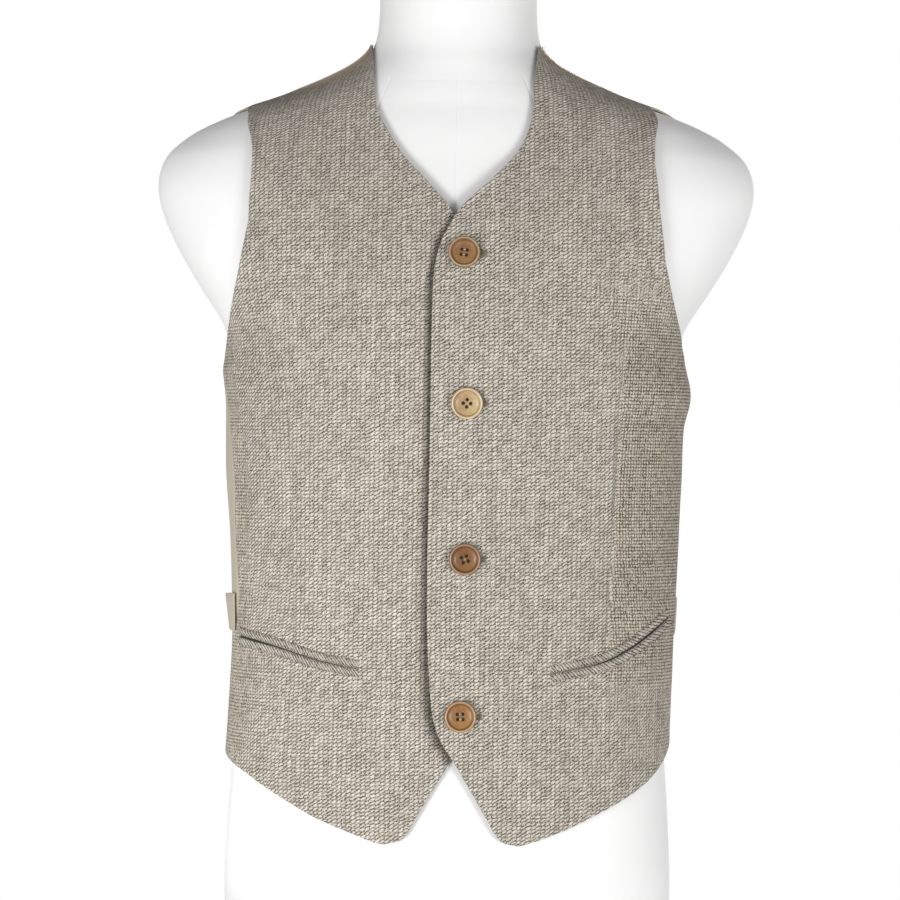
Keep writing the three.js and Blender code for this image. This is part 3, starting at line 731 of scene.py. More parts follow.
def back_grid(hand, share, seam_rows, armhole_rows, shoulder_rows):
    """Angles and heights of half the back, drawn as the wearer's left one. Its outer edge runs up the
    side seam, round the armhole and along the shoulder seam, its top edge is the neckline."""
    outer = OUTER[hand]
    low_z, arm_z = outer["z"][0], ARMHOLE_Z[hand]
    neck = np.array([angle_at(FRONT_EDGE[hand][-1], FRONT_EDGE["z"][-1], hand), FRONT_EDGE["z"][-1]])
    tip = np.array([outer["angle"][-1], outer["z"][-1]])
    seam_z = mix(low_z, arm_z, np.linspace(0, 1, seam_rows) ** 1.2)
    seam_angle = along(outer, "z", "angle", seam_z)
    lean = (along(outer, "z", "angle", seam_z + 2) - along(outer, "z", "angle", seam_z - 2)) / 4
    widen = np.hypot(1, lean * SEAM_GAP / gap_turn(seam_angle, seam_z))
    s = np.linspace(0, 1, armhole_rows + 2)[1:-1]
    s = mix(s, smooth(0, 1, s), 0.6)
    start = np.array([seam_angle[-1], arm_z])
    arm = [
        along(BACK_ARMHOLE, "share", name, s)
        + (start[k] - BACK_ARMHOLE[name][0]) * (1 - s) ** 4
        + (tip[k] - BACK_ARMHOLE[name][-1]) * s**4
        for k, name in enumerate(("angle", "z"))
    ]
    u = np.linspace(1, 0, shoulder_rows)
    angle = np.concatenate([seam_angle, arm[0], mix(neck[0], tip[0], u)])[:, None]
    edge_z = np.concatenate([seam_z, arm[1], mix(neck[1], tip[1], u)])[:, None]
    widen = np.concatenate([widen, np.ones(armhole_rows + shoulder_rows)])[:, None]
    v = (edge_z - low_z) / (neck[1] - low_z)
    start = angle + gap_turn(angle, edge_z) * widen
    middle_z = mix(BACK_HEM_Z, BACK_NECK_Z, v)
    u = share[None, :]
    angle = mix(start, 180 - gap_turn(180, middle_z) / 2, u)
    hem = smooth(0, 0.7, u) - u
    neckline = along(BACK_NECK, "angle", "z", angle) - mix(neck[1], BACK_NECK_Z, u)
    z = mix(edge_z, middle_z, u) + (BACK_HEM_Z - low_z) * hem * (1 - v) ** 3 + neckline * v**12
    return angle, z


def satin_finish(name="satin", tint=(1, 1, 1)):
    """Lining satin: smooth beige with a soft gloss, floats of thread 0.35 mm apart across it, and a
    little unevenness from thread to thread."""
    f = Finish(
        name,
        Roughness=0.34,
        Sheen_Weight=0.2,
        Sheen_Roughness=0.35,
        Specular_IOR_Level=0.5,
        Anisotropic=0.4,
    )
    uv = f.node("UVMap", {"uv_map": "cloth"})
    across, up = (f.node("SeparateXYZ", None, {0: uv}, k) for k in range(2))
    thread = f.noise(f.point(across * 0.06, up * 3.0), 1.0, 2.0)
    float_line = (up * (1 / 0.35) + across * 0.6).wave()
    cloud = f.noise(uv, 0.012, 3.0)
    colour = f.blend(thread * 0.5 + cloud * 0.5, (0.38, 0.32, 0.235), (0.60, 0.53, 0.42))
    height = float_line * 0.3 + thread * 0.7
    # The tint darkens the whole colour; for the shoulder fold it is painted shade.
    shade = f.node("VectorMath", {"operation": "MULTIPLY"}, {0: colour, 1: tint})
    return f.paint(Base_Color=shade, Normal=f.bump(height, 0.00006, 0.6))


BACK_CREASES = rows(
    "angle z lean length width depth",
    (98, 390, -7, 70, 5, 1.6),
    (106, 330, 10, 46, 6, 1.3),
    (112, 440, 16, 60, 7, 1.1),
    (124, 318, -6, 34, 5, 1.5),
    (137, 330, 5, 44, 5, 1.6),
    (149, 316, -9, 30, 4, 1.7),
    (159, 334, 4, 46, 5, 1.9),
    (168, 318, -4, 30, 4, 2.0),
    (175, 340, 8, 48, 4, 1.8),
    (128, 238, 8, 26, 5, 1.3),
    (143, 228, -5, 36, 6, 1.5),
    (155, 240, 6, 24, 4, 1.7),
    (165, 230, -8, 34, 5, 1.8),
    (173, 242, 3, 22, 4, 1.8),
    (150, 560, 58, 60, 9, 0.9),
    (128, 610, 40, 40, 8, 0.8),
    (104, 500, 28, 36, 6, 1.2),
    (96, 250, -12, 36, 5, 1.4),
    (86, 425, 16, 26, 3, 1.0),
    (83, 372, -13, 34, 3, 1.1),
    (85, 318, 14, 24, 3, 0.9),
    (82, 436, -24, 14, 2.5, 0.8),
)
SEAM_SINK = 0.7
satin = satin_finish()
for hand in ("left", "right"):
    share = np.sort(np.concatenate([np.linspace(0, 1, 166) ** 1.1, [0.006, 0.012, 0.985, 0.99, 0.995]]))
    angle, z = back_grid(hand, share, 110, 70, 40)
    uv = cloth_uv(angle, z)
    sink = creases(BACK_CREASES, angle * (1 if hand == "left" else 1.012), z + (0 if hand == "left" else 4))
    chord = ring(angle[:, :1], z[:, :1]) - ring(angle[:, -1:], z[:, -1:])
    half_width = np.linalg.norm(chord, axis=-1) * 1.25
    to_seam = np.minimum(share, 1 - share)[None, :] * half_width
    pucker = 0.22 * np.sin(z * 0.9 + 2 * np.sin(z * 0.11)) * np.exp(-to_seam / 5)
    sink = sink + SEAM_SINK * np.exp(-((to_seam / 1.4) ** 2)) + pucker
    sink = sink * smooth(0, 6, z - BACK_HEM_Z + 8)
    if hand == "right":
        angle, z, uv, sink = -angle[:, ::-1], z[:, ::-1], uv[:, ::-1] * (-1, 1), sink[:, ::-1]
    outside, inside = place(angle, z, TWEED - sink), place(angle, z, TWEED - SATIN - sink)
    points, faces, flat = closed_wall(outside, inside, uv, 0.5)
    back = piece("back_" + hand + "_satin", points, faces, satin, flat)
    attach(back, "root")
    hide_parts("back_" + hand)


# The back's satin comes over the shoulder seams: a narrow fold of it lies along the top edge of each
# front, widest near the neck and gone before the shoulder's tip.
FOLD_TURN = {"right": 13, "left": 4}
FOLD_DROP = {"right": 4.2, "left": 1.2}
FOLD_RISE = 0.7
# The fold's satin is the back's satin darkened and browned as painted shade on the shoulder tops.
fold_satin_painted_shade = satin_finish("fold_satin_painted_shade", (0.78, 0.62, 0.45))
for hand in ("left", "right"):
    neck_angle = angle_at(FRONT_EDGE[hand][-1], FRONT_EDGE["z"][-1], hand)
    share, t = np.linspace(0.004, 0.88, 90)[None, :], np.linspace(1, 0, 9)[:, None]
    wide = smooth(-0.12, 0.25, share) * smooth(0.88, 0.45, share) + 0.06
    angle = mix(neck_angle, OUTER[hand]["angle"][-1], share) - t * wide * FOLD_TURN[hand]
    z = mix(FRONT_EDGE["z"][-1], OUTER[hand]["z"][-1], share) - t * wide * FOLD_DROP[hand]
    crown = FOLD_RISE * np.sqrt(1 - 0.96 * t**4) * np.minimum(wide * 3, 1)
    uv = np.stack([share * 150 + 0 * t, t * wide * 20], -1)
    if hand == "right":
        angle, z, crown, uv = -angle[:, ::-1], z[:, ::-1], crown[:, ::-1], uv[:, ::-1]
    outside, inside = place(angle, z, TWEED + crown), place(angle, z, TWEED - 0.3 + 0 * crown)
    points, faces, flat = closed_wall(outside, inside, uv, 0.2)
    fold = piece(f"shoulder_{hand}_fold", points, faces, fold_satin_painted_shade, flat)
    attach(fold, "root")


# The pockets: each has two narrow lips of the same tweed turned across the grain, folded round the
# edges of the slit and sewn in along their outer sides. Between them a near-black strip is painted
# shade for the pocket's opening.
LIP_HEIGHT = 6.8
LIP_LENGTH = 96
LIP_CROWN, LIP_SUNK_EDGE = 0.95, 0.75
# How the grain is scaled across and along a lip, and how far it leans for each millimetre across.
LIP_GRAIN = (0.62, 1.12)
LIP_SHEAR = {"right": 0.84, "left": 0.4}
POCKET = {
    "right": rows(
        "x z",
        (68.4, 245),
        (99.8, 250.7),
        (129.5, 259.3),
        (160.8, 266),
    ),
    "left": rows(
        "x z",
        (75, 243),
        (115.4, 251.7),
        (138, 263.2),
        (151, 272.6),
        (167.5, 286),
    ),
}
# How far the lips stand apart, from the pocket's inner end to its outer one.
OPENING = {
    "right": rows(
        "t gap",
        (0, 0.2),
        (0.35, 0.45),
        (0.55, 0.6),
        (0.8, 1.3),
        (0.95, 1.4),
        (1, 0.8),
    ),
    "left": rows(
        "t gap",
        (0, 0.2),
        (0.3, 0.35),
        (0.5, 1.0),
        (0.85, 1.5),
        (1, 0.7),
    ),
}


def on_front(hand, x, z, out):
    """The point on a front's outer face that is x to the side and z up, moved out."""
    angle = angle_at(x, z, hand)
    return place(-angle if hand == "right" else angle, z, TWEED + out)


def pocket_band(hand, t, offset, out):
    """Points along a pocket: t runs from its inner end to its outer one, offset is up from the slit
    at right angles to it, out is off the front."""
    line = POCKET[hand]
    x = mix(line["x"][0], line["x"][-1], t)
    slope = (along(line, "x", "z", x + 0.5) - along(line, "x", "z", x - 0.5)) / 1.0
    length = np.hypot(1, slope)
    return on_front(hand, x - offset * slope / length, along(line, "x", "z", x) + offset / length, out)


# Painted shade: a near-black finish for the strip in each pocket's opening.
dark = Finish("pocket_painted_shade", Roughness=0.95)
x, y, z, where = object_place(dark)
dark_tone = dark.blend(dark.noise(where, 2500.0), (0.012, 0.01, 0.008), (0.05, 0.042, 0.034))
dark = dark.paint(Base_Color=dark_tone)
lip_tweed = tweed_finish("lip_tweed", 0.8)
t = np.linspace(0, 1, 110)
for hand in ("left", "right"):
    half_gap = along(OPENING[hand], "t", "gap", t) / 2
    for name, sign in (("upper", 1), ("lower", -1)):
        s = np.linspace(0, 1, 13)[:, None]
        offset = sign * (half_gap + s * LIP_HEIGHT)
        ends = smooth(0, 0.012, t) * smooth(1, 0.988, t)
        crown = LIP_CROWN * np.sqrt(np.maximum(1 - (2 * s - 0.9) ** 2 / 1.25, 0)) * ends
        crown = crown + 0.02 * np.sin(t * 300) * ends - LIP_SUNK_EDGE * smooth(0.9, 1, s)
        outside = pocket_band(hand, t + 0 * s, offset, crown)
        inside = pocket_band(hand, t + 0 * s, offset, 0 * crown - 0.8)
        along_slit = t * LIP_LENGTH * (1 if hand == "right" else -1) + 0 * s
        up = along_slit * LIP_GRAIN[1] - offset * LIP_SHEAR[hand]
        uv = np.stack([offset * LIP_GRAIN[0] + 40 * sign, up], -1)
        if (hand == "right") != (sign < 0):
            outside, inside, uv = outside[:, ::-1], inside[:, ::-1], uv[:, ::-1]
        points, faces, flat = closed_wall(outside, inside, uv, 0.25)
        lip = piece(f"pocket_{hand}_{name}_lip", points, faces, lip_tweed, flat)
        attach(lip, "root")
        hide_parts(f"pocket_{hand}_{name}")
    # The slit strip between the lips, painted shade for the opening.
    s = np.array([-1.0, 0.0, 1.0])[:, None]
    inner = t * 0.97 + 0.015
    band = pocket_band(hand, inner + 0 * s, s * (half_gap + 0.35), 0 * s * t + 0.12)
    under = pocket_band(hand, inner + 0 * s, s * (half_gap + 0.35), 0 * s * t - 0.4)
    uv = np.stack([0 * s + t, s + 0 * t], -1)
    if hand == "right":
        band, under, uv = band[:, ::-1], under[:, ::-1], uv[:, ::-1]
    points, faces, flat = closed_wall(band, under, uv, 0.05)
    slit = piece(f"pocket_{hand}_slit", points, faces, dark, flat)
    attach(slit, "root")


# The buttons: pressed horn-look discs with a rounded rim, a turned groove inside it and a dished face
# with four drilled holes, sewn on through the holes with a few strands of thread round a shank.
SHANK_LENGTH = 1.3
HOLE_RADIUS = 1.35
HOLE_CIRCLE = 2.75
# Painted shade at the foot of each hole: a dark plug just inside its wall.
PLUG_RADIUS = 1.32
PLUG_HEIGHTS = (0.1, 0.4, 0.7)
STRAND_RADIUS, SHANK_RADIUS = 0.2, 1.3
BUTTONS = rows(
    "x z turn red green blue pale",
    (6.5, 558, -8, 0.34, 0.17, 0.065, 0.0),
    (10, 446.7, 42, 0.55, 0.36, 0.18, 1.0),
    (10, 329.6, 20, 0.25, 0.105, 0.032, 0.1),
    (8.2, 210.7, 3, 0.36, 0.165, 0.05, 0.1),
)


def frame_on(hand, x, z, out, turn=0.0):
    """Origin and the across, up and outward directions of a flat piece that lies on a front."""
    angle = angle_at(x, z, hand)
    lift = (TWEED + LAYER_GAP) * (1 - smooth(LAP_NEAR, LAP_FAR, ring(angle, z)[..., 0]))
    outward = facing(angle, z)
    across = np.cross([0, 0, 1], outward)
    across /= np.linalg.norm(across)
    up = np.cross(outward, across)
    c, s = np.cos(np.radians(turn)), np.sin(np.radians(turn))
    return place(angle, z, TWEED + lift + out), across * c + up * s, up * c - across * s, outward


def carried(points, frame_at):
    """Local points, across, up and outward, put in a frame."""
    origin, across, up, outward = frame_at
    return origin + points[..., :1] * across + points[..., 1:2] * up + points[..., 2:] * outward


def tube(line, radius, sides=8):
    """Points and faces of a closed round tube along a line of points. At each point the circle lies
    across the line's direction, and the two ends are closed with fans."""
    line = np.asarray(line, float)
    step = np.gradient(line, axis=0)
    step /= np.linalg.norm(step, axis=1, keepdims=True)
    side = np.cross(step, [0.31, 0.17, 0.93])
    side /= np.linalg.norm(side, axis=1, keepdims=True)
    other = np.cross(step, side)
    t = np.linspace(0, 2 * np.pi, sides + 1)[:-1]
    radius = np.broadcast_to(radius, len(line))[:, None, None]
    circle = side[:, None] * np.cos(t)[:, None] + other[:, None] * np.sin(t)[:, None]
    rings = line[:, None] + radius * circle
    at = np.arange(len(line) * sides).reshape(-1, sides)
    beside = np.roll(at, -1, axis=1)
    quads = np.stack([at[:-1], beside[:-1], beside[1:], at[1:]], -1).reshape(-1, 4)
    return rings.reshape(-1, 3), quads, np.stack([at[0][::-1], at[-1]])


def joined(parts):
    """Several parts' points and faces as one, each part's faces moved on past the points before it."""
    start, points, faces = 0, [], []
    for part_points, *part_faces in parts:
        points.append(part_points)
        faces += [f + start for f in part_faces]
        start += len(part_points)
    return np.concatenate(points), faces


def horn_finish(name, colour, pale):
    """Horn-look plastic: clouded, streaky browns that turn round the button's middle, with a polished
    gloss. It carries a painted highlight along the rim's crest, painted shade in the groove inside it
    and on the outer edge, and painted light that grows towards the face's lower right, mixed with the
    streaks."""
    f = Finish(name, Roughness=0.3, Coat_Roughness=0.2, Specular_IOR_Level=0.5)
    uv = f.node("UVMap", {"uv_map": "cloth"})
    x, y = (f.node("SeparateXYZ", None, {0: uv}, k) for k in range(2))
    radius = (x * x + y * y).math("SQRT")
    streak = f.noise(f.point(x * 0.5 + y * 0.25, y * 0.12 - x * 0.05, radius * 0.35), 0.9, 4.0, 0.6)
    turned = f.noise(f.point(radius * 3.0, 0.0), 1.0, 2.0)
    # Painted shade in the groove, and a painted highlight along the crest.
    groove = radius.rise(8.3, 9.2) * (1 - radius.rise(9.4, 10.2))
    crest = radius.rise(9.9, 10.9)
    dark_tone = tuple(c * 0.6 for c in colour)
    light = tuple(min(c * k + 0.12, 1) for c, k in zip(colour, (1.1, 1.35, 1.6)))
    # Painted light: the face grows lighter towards its lower right, mixed with the streaks.
    lean = (x * 0.03 - y * 0.05 + streak - 0.05).rise(0.1, 1.0)
    tone = f.blend((streak * 0.7 + turned * 0.3).rise(0.34, 0.74), dark_tone, colour)
    tone = f.blend(lean * 0.5, tone, tuple(min(c * k, 1) for c, k in zip(colour, (1.15, 1.4, 1.5))))
    tone = f.blend(groove * (0.75 - 0.4 * pale), tone, tuple(c * 0.35 for c in colour))
    tone = f.blend(crest * 0.8, tone, light)
    # Painted shade on the outer edge, standing for the shadow round the button.
    tone = f.blend(radius.rise(11.2, 11.9) * 0.8, tone, tuple(c * 0.3 for c in colour))
    relief = f.bump(turned * 0.6 + streak * 0.4, 0.00006, 0.5)
    return f.paint(Base_Color=tone, Roughness=streak * 0.25 + 0.22, Normal=relief)


def thread_finish(name, low, high):
    """Sewing thread: fine twist lines along it, between two close tones."""
    f = Finish(name, Roughness=0.7, Sheen_Weight=0.3)
    x, y, z, where = object_place(f)
    twist = ((x + y * 0.7 + z) * 2800.0).wave()
    tone = f.blend(twist * 0.6 + f.noise(where, 900.0) * 0.4, low, high)
    return f.paint(Base_Color=tone, Normal=f.bump(twist, 0.00006, 0.5))


profile = rows(
    "r h",
    (0.05, 1.2),
    (4, 1.25),
    (6.8, 1.55),
    (8.2, 2.0),
    (8.9, 1.95),
    (9.4, 2.15),
    (9.9, 2.85),
    (10.5, 3.35),
    (11.1, 3.38),
    (11.7, 2.95),
    (12, 2.2),
    (11.9, 1.3),
    (11.3, 0.5),
    (10, 0.12),
    (6, 0),
    (0.05, 0),
)
around = np.linspace(0, 2 * np.pi, 73)[:-1]
s = np.linspace(0, len(profile["r"]) - 1, 61)
order = rows("k r h", *zip(range(len(profile["r"])), profile["r"], profile["h"]))
lathe_r, lathe_h = along(order, "k", "r", s), along(order, "k", "h", s)
disc_r, disc_h = lathe_r[:, None], lathe_h[:, None] + 0 * around
disc = np.stack([disc_r * np.cos(around), disc_r * np.sin(around), disc_h], -1)
at = np.arange(len(s) * len(around)).reshape(len(s), -1)
beside = np.roll(at, -1, axis=1)
disc_quads = np.stack([at[1:], beside[1:], beside[:-1], at[:-1]], -1).reshape(-1, 4)
disc_faces = [disc_quads, at[0][None, :], at[-1][::-1][None, :]]
cream_thread = thread_finish("cream_thread", (0.33, 0.27, 0.2), (0.66, 0.58, 0.47))
tan_thread = thread_finish("tan_thread", (0.3, 0.19, 0.09), (0.52, 0.36, 0.2))
THREADS = {1: cream_thread, 2: tan_thread, 3: tan_thread, 4: cream_thread}
# Which holes each button's strands join, numbered in the order of the corners below.
PAIRS = {1: ((0, 1), (3, 2)), 2: ((0, 1), (3, 2)), 3: ((0, 2), (1, 3)), 4: ((0, 1), (3, 2))}
# Painted shade for the holes: a near-black brown for the plugs at their feet.
hole_shade = Finish("hole_painted_shade", Roughness=0.9)
x, y, z, where = object_place(hole_shade)
hole_shade_tone = hole_shade.blend(hole_shade.noise(where, 1500.0), (0.02, 0.01, 0.004), (0.05, 0.026, 0.012))
hole_shade = hole_shade.paint(Base_Color=hole_shade_tone)
for k in range(4):
    number = k + 1
    colour = tuple(BUTTONS[name][k] for name in ("red", "green", "blue"))
    finish = horn_finish(f"horn_{number}", colour, BUTTONS["pale"][k])
    seat = frame_on("left", BUTTONS["x"][k], BUTTONS["z"][k], SEAM_GAP, BUTTONS["turn"][k])
    lifted = disc + (0, 0, SHANK_LENGTH)
    button = piece(f"button_{number}_disc", carried(lifted, seat), disc_faces, finish, disc[..., :2])
    corners = np.radians(135 - 90 * np.arange(4))
    holes = np.stack([np.cos(corners), np.sin(corners)], -1) * HOLE_CIRCLE
    drills = []
    for hole in holes:
        line = np.array([[*hole, h] for h in (-1, 1, 3, 6)])
        drills.append(tube(carried(line, seat), HOLE_RADIUS, 20))
    points, faces = joined(drills)
    drill = piece("drill", points, faces, finish)
    cut = button.modifiers.new("holes", "BOOLEAN")
    cut.object, cut.operation, cut.solver = drill, "DIFFERENCE", "EXACT"
    bpy.context.view_layer.update()
    done = bpy.data.meshes.new_from_object(button.evaluated_get(bpy.context.evaluated_depsgraph_get()))
    button.modifiers.clear()
    button.data = done
    bpy.data.objects.remove(drill)
    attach(button, "root")
    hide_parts(f"button_{number}")
    strands = []
    for first, second in PAIRS[number]:
        a, b = holes[first], holes[second]
        across = np.array([-(b - a)[1], (b - a)[0]]) / np.linalg.norm(b - a)
        for step in (-0.24, 0.2):
            t = np.linspace(0, 1, 15)
            flat_line = mix(a, b, (0.5 - 0.22 * np.cos(np.pi * t))[:, None]) + across * step
            arch = np.sin(np.pi * t)
            height = SHANK_LENGTH + 1.2 + 0.45 * arch**0.5 - 1.6 * (1 - arch) ** 3
            strands.append(tube(carried(np.column_stack([flat_line, height]), seat), STRAND_RADIUS, 6))
    shank = [(0, 0, -0.2), (0, 0, 0.4), (0, 0, SHANK_LENGTH + 0.3)]
    strands.append(tube(carried(np.array(shank, float), seat), SHANK_RADIUS, 16))
    points, faces = joined(strands)
    thread = piece(f"button_{number}_thread", points, faces, THREADS[number])
    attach(thread, "root")
    # Dark plugs at the foot of each hole, as painted shade.
    plugs = []
    for hole in holes:
        line = np.array([[*hole, SHANK_LENGTH + h] for h in PLUG_HEIGHTS])
        plugs.append(tube(carried(line, seat), PLUG_RADIUS, 20))
    points, faces = joined(plugs)
    plug = piece(f"button_{number}_plugs", points, faces, hole_shade)
    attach(plug, "root")


# The buttonholes: horizontal slits in the left front, worked round with close purl stitches in a
# tan thread. Each runs from under its button towards the wearer's left.
purl_thread = thread_finish("purl_thread", (0.13, 0.1, 0.06), (0.36, 0.3, 0.2))
HOLE_START, PURL_PITCH, PURL_RADIUS = 2.0, 0.85, 0.4
HOLE_ENDS = (16.3, 14.6, 14.6, 14.8)
for k in range(4):
    parts = []
    centre = BUTTONS["x"][k]
    for x in np.arange(HOLE_START, HOLE_ENDS[k], PURL_PITCH):
        for side in (-1, 1):
            seat = frame_on("left", centre + x, BUTTONS["z"][k] - 0.2, 0.0)
            s = np.linspace(0, 1, 5)
            sway = 0.12 * np.sin(7 * x + side) + 0 * s
            rise = 0.15 + 0.5 * np.sin(np.pi * (0.15 + 0.85 * s))
            line = np.column_stack([sway, side * (0.35 + 1.9 * s), rise])
            parts.append(tube(carried(line, seat), PURL_RADIUS, 6))
    seat = frame_on("left", centre + HOLE_ENDS[k], BUTTONS["z"][k] - 0.2, 0.0)
    for x in (0, 0.75):
        s = np.linspace(-1, 1, 7)
        line = np.column_stack([x + 0 * s, 2.2 * s, 0.2 + 0.45 * np.cos(s * 1.4)])
        parts.append(tube(carried(line, seat), 0.42, 6))
    points, faces = joined(parts)
    purl = piece(f"buttonhole_{k + 1}", points, faces, purl_thread)
    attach(purl, "root")


# The back strap: two halves of folded satin, stitched near both edges, from the side seams to a metal
# slide in the middle of the back. Each half stands off the back a little near its seam.
STRAP_HEIGHT = 29
STRAP_THICK = 1.4
STRAP_RIDE = 0.85
STRAP_SIDE_Z = 284
STRAP_MIDDLE_Z = 276
STRAP_END = 176.5
BUCKLE_WIDTH, BUCKLE_HEIGHT, BUCKLE_BAR, BUCKLE_THICK = 30, 37, 3, 1.8
FLARE_SPAN = 0.42
FLARE = {"left": 2, "right": 4.5}
strap_thread = thread_finish("strap_thread", (0.36, 0.31, 0.23), (0.62, 0.55, 0.43))


def strap_point(hand, t, s, out):
    """A point on a strap: t from the side seam to the buckle, s from the lower edge at -1 to the upper
    one at 1, out off its own face. The stand off the back is a half sine over the first part of t."""
    start = along(OUTER[hand], "z", "angle", STRAP_SIDE_Z) + 0.6
    narrow = BUCKLE_HEIGHT - 3 * BUCKLE_BAR
    half = mix(STRAP_HEIGHT, narrow, smooth(0.2, 0.9, t)) / 2
    bulge = np.sin(np.pi * np.minimum(t / FLARE_SPAN, 1))
    stand = FLARE[hand] * bulge * (s + 1) * 0.5
    ripple = 0.25 * np.sin(t * 31 + s * 2) * smooth(0.5, 0.95, t)
    angle = mix(start, STRAP_END, t)
    z = mix(STRAP_SIDE_Z, STRAP_MIDDLE_Z, t) + s * half
    return place(-angle if hand == "right" else angle, z, TWEED + STRAP_RIDE + stand + ripple + out)


for hand in ("left", "right"):
    t, s = np.linspace(0, 1, 160)[None, :], np.linspace(-1, 1, 24)[:, None]
    edge = 0.35 * smooth(0.8, 1, np.abs(s))
    sewn = -0.22 * np.exp(-(((np.abs(s) - 0.86) / 0.035) ** 2))
    outside = strap_point(hand, t, s, STRAP_THICK - edge + sewn)
    inside = strap_point(hand, t, s, 0 * s * t)
    uv = np.stack([t * 165 + 0 * s, s * 14.5 + 0 * t], -1)
    if hand == "right":
        outside, inside, uv = outside[:, ::-1], inside[:, ::-1], uv[:, ::-1]
    points, faces, flat = closed_wall(outside, inside, uv, 0.4)
    strap = piece(f"strap_{hand}_satin", points, faces, satin, flat)
    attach(strap, "root")
    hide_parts(f"strap_{hand}")
    stitches = []
    for side in (-0.86, 0.86):
        for at_t in np.arange(0.012, 0.97, 0.0165):
            u = np.linspace(at_t, at_t + 0.011, 5)
            rise = STRAP_THICK - 0.12 + 0.2 * np.sin(np.linspace(0, np.pi, 5))
            stitches.append(tube(strap_point(hand, u, side + 0 * u, rise), 0.16, 6))
    points, faces = joined(stitches)
    sewing = piece(f"strap_{hand}_stitches", points, faces, strap_thread)
    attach(sewing, "root")


# The slide: a flat frame of dull metal with a middle bar, its edges rounded by tumbling.
metal = Finish("dull_nickel", Metallic=1.0)
x, y, z, where = object_place(metal)
worn = metal.noise(where, 260.0, 4.0)
fine = metal.noise(where, 3000.0, 2.0)
tone = metal.blend(worn.rise(0.35, 0.7), (0.36, 0.32, 0.27), (0.60, 0.56, 0.50))
metal = metal.paint(Base_Color=tone, Roughness=worn * 0.35 + 0.2, Normal=metal.bump(fine, 0.00004, 0.4))


def bar(start, end, wide, thick):
    """A bar with rounded corners: its section is a superellipse of power 4, carried along a line."""
    t = np.linspace(0, 2 * np.pi, 25)[:-1]
    c, s = np.cos(t), np.sin(t)
    reach = (np.abs(c) ** 4 + np.abs(s) ** 4) ** -0.25
    start, end = np.array(start, float), np.array(end, float)
    step = (end - start) / np.linalg.norm(end - start)
    across = np.array([-step[1], step[0], 0])
    outward = np.array([0, 0, thick / 2])
    section_points = (reach * c)[:, None] * across * wide / 2 + (reach * s)[:, None] * outward
    places = [(-0.35, 0.4), (-0.1, 0.85), (0.4, 1)]
    length = np.linalg.norm(end - start)
    stations = [(d, k) for d, k in places] + [(length - d, k) for d, k in places[::-1]]
    rings = np.stack([start + step * d + section_points * k for d, k in stations])
    at = np.arange(len(stations) * 24).reshape(-1, 24)
    beside = np.roll(at, -1, axis=1)
    quads = np.stack([at[:-1], at[1:], beside[1:], beside[:-1]], -1).reshape(-1, 4)
    return rings.reshape(-1, 3), quads[:, ::-1], np.stack([at[0][::-1], at[-1]])


w, h, b = (BUCKLE_WIDTH - BUCKLE_BAR) / 2, (BUCKLE_HEIGHT - BUCKLE_BAR) / 2, BUCKLE_BAR
normal = facing(180.0, float(STRAP_MIDDLE_Z))
across = np.cross([0, 0, 1], normal)
slide_out = TWEED + STRAP_RIDE + STRAP_THICK + LAYER_GAP + BUCKLE_THICK / 2
seat = (place(180.0, float(STRAP_MIDDLE_Z), slide_out), across, np.cross(normal, across), normal)
bars = [bar((x, -h, 0), (x, h, 0), b, BUCKLE_THICK) for x in (-w, w)]
bars.append(bar((0, -h, 0), (0, h, 0), b * 0.8, BUCKLE_THICK * 0.8))
bars += [bar((-w - b / 2, side * h, 0), (w + b / 2, side * h, 0), b, BUCKLE_THICK) for side in (-1, 1)]
points, faces = joined([(carried(p, seat), *f) for p, *f in bars])
slide = piece("buckle_slide", points, faces, metal)
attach(slide, "root")
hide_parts("buckle")


# The place where it stands: a pale floor, soft light from both sides, and the photo's camera.
# The camera is 3 m in front, level, and leans a little, as the photo does.
SKY_LEVEL, SKY_TOP = 0.5, 0.16
world = bpy.data.worlds.new("studio")
bpy.context.scene.world = world
world.use_nodes = True
sky_nodes, sky_links = world.node_tree.nodes, world.node_tree.links
sky = sky_nodes["Background"]
sky.inputs["Color"].default_value = (1, 1, 1, 1)
way = sky_nodes.new("ShaderNodeTexCoord")
parts = sky_nodes.new("ShaderNodeSeparateXYZ")
fade = sky_nodes.new("ShaderNodeMapRange")
seen = sky_nodes.new("ShaderNodeLightPath")
strength = sky_nodes.new("ShaderNodeMix")
fade.inputs["From Min"].default_value, fade.inputs["From Max"].default_value = 0.0, 0.6
fade.inputs["To Min"].default_value, fade.inputs["To Max"].default_value = SKY_LEVEL, SKY_TOP
sky_links.new(way.outputs["Generated"], parts.inputs[0])
sky_links.new(parts.outputs["Z"], fade.inputs["Value"])
sky_links.new(seen.outputs["Is Camera Ray"], strength.inputs["Factor"])
sky_links.new(fade.outputs["Result"], strength.inputs["A"])
strength.inputs["B"].default_value = 1.0
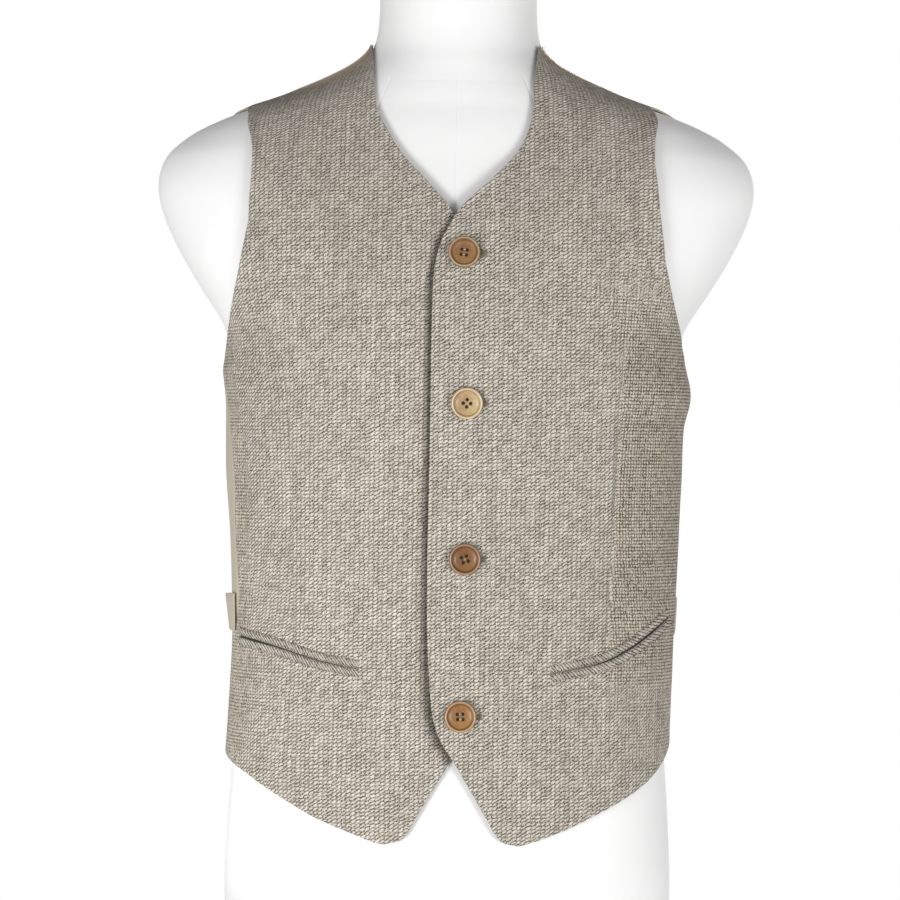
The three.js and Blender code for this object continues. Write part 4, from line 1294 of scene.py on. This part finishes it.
sky_links.new(strength.outputs["Result"], sky.inputs["Strength"])
bpy.context.scene.view_settings.view_transform = "Standard"

floor_mesh = bpy.data.meshes.new("floor")
turns = np.linspace(0, 2 * np.pi, 65)[:-1]
floor_mesh.from_pydata([(0.46 * np.cos(t), 0.46 * np.sin(t), -0.0005) for t in turns], [], [range(64)])
floor_finish = Finish("floor", Roughness=0.8, Emission_Strength=0.28)
floor_tone = floor_finish.noise(floor_finish.node("TexCoord", None, None, 3), 3.0)
floor_tone = floor_finish.blend(floor_tone, (0.88, 0.88, 0.88), (0.91, 0.91, 0.91))
floor_mesh.materials.append(floor_finish.paint(Base_Color=floor_tone, Emission_Color=floor_tone))
floor = bpy.data.objects.new("floor", floor_mesh)
bpy.context.scene.collection.objects.link(floor)


def softbox(name, place_m, aim_m, size_m, watts, spread=180):
    """A square soft light at a place, turned towards an aim, its beam spread a number of degrees."""
    light = bpy.data.lights.new(name, "AREA")
    light.size, light.energy, light.spread = size_m, watts, np.radians(spread)
    lamp = bpy.data.objects.new(name, light)
    lamp.location = place_m
    lamp.rotation_euler = (Vector(aim_m) - Vector(place_m)).to_track_quat("-Z", "Y").to_euler()
    bpy.context.scene.collection.objects.link(lamp)


softbox("light_left", (-1.9, -2.5, -0.2), (0, 0, 0.3), 1.2, 55)
softbox("light_low_left", (-1.5, -0.7, -0.1), (-0.17, 0, 0.2), 0.4, 0.18, 24)
softbox("light_right", (1.9, -2.5, 0.0), (0, 0, 0.4), 1.2, 45)
softbox("light_behind", (0.7, 2.6, 0.9), (0, 0, 0.45), 1.4, 34)

PIXEL = 0.00078
DISTANCE = 3.0
lens = bpy.data.cameras.new("camera")
lens.sensor_width = 36
lens.lens = 36 * DISTANCE / (900 * PIXEL)
camera = bpy.data.objects.new("camera", lens)
camera.location = (-(452.7 - 450) * PIXEL, -DISTANCE, 0.411)
camera.rotation_euler = (np.radians(90), np.radians(-0.77), 0)
bpy.context.scene.collection.objects.link(camera)
bpy.context.scene.camera = camera
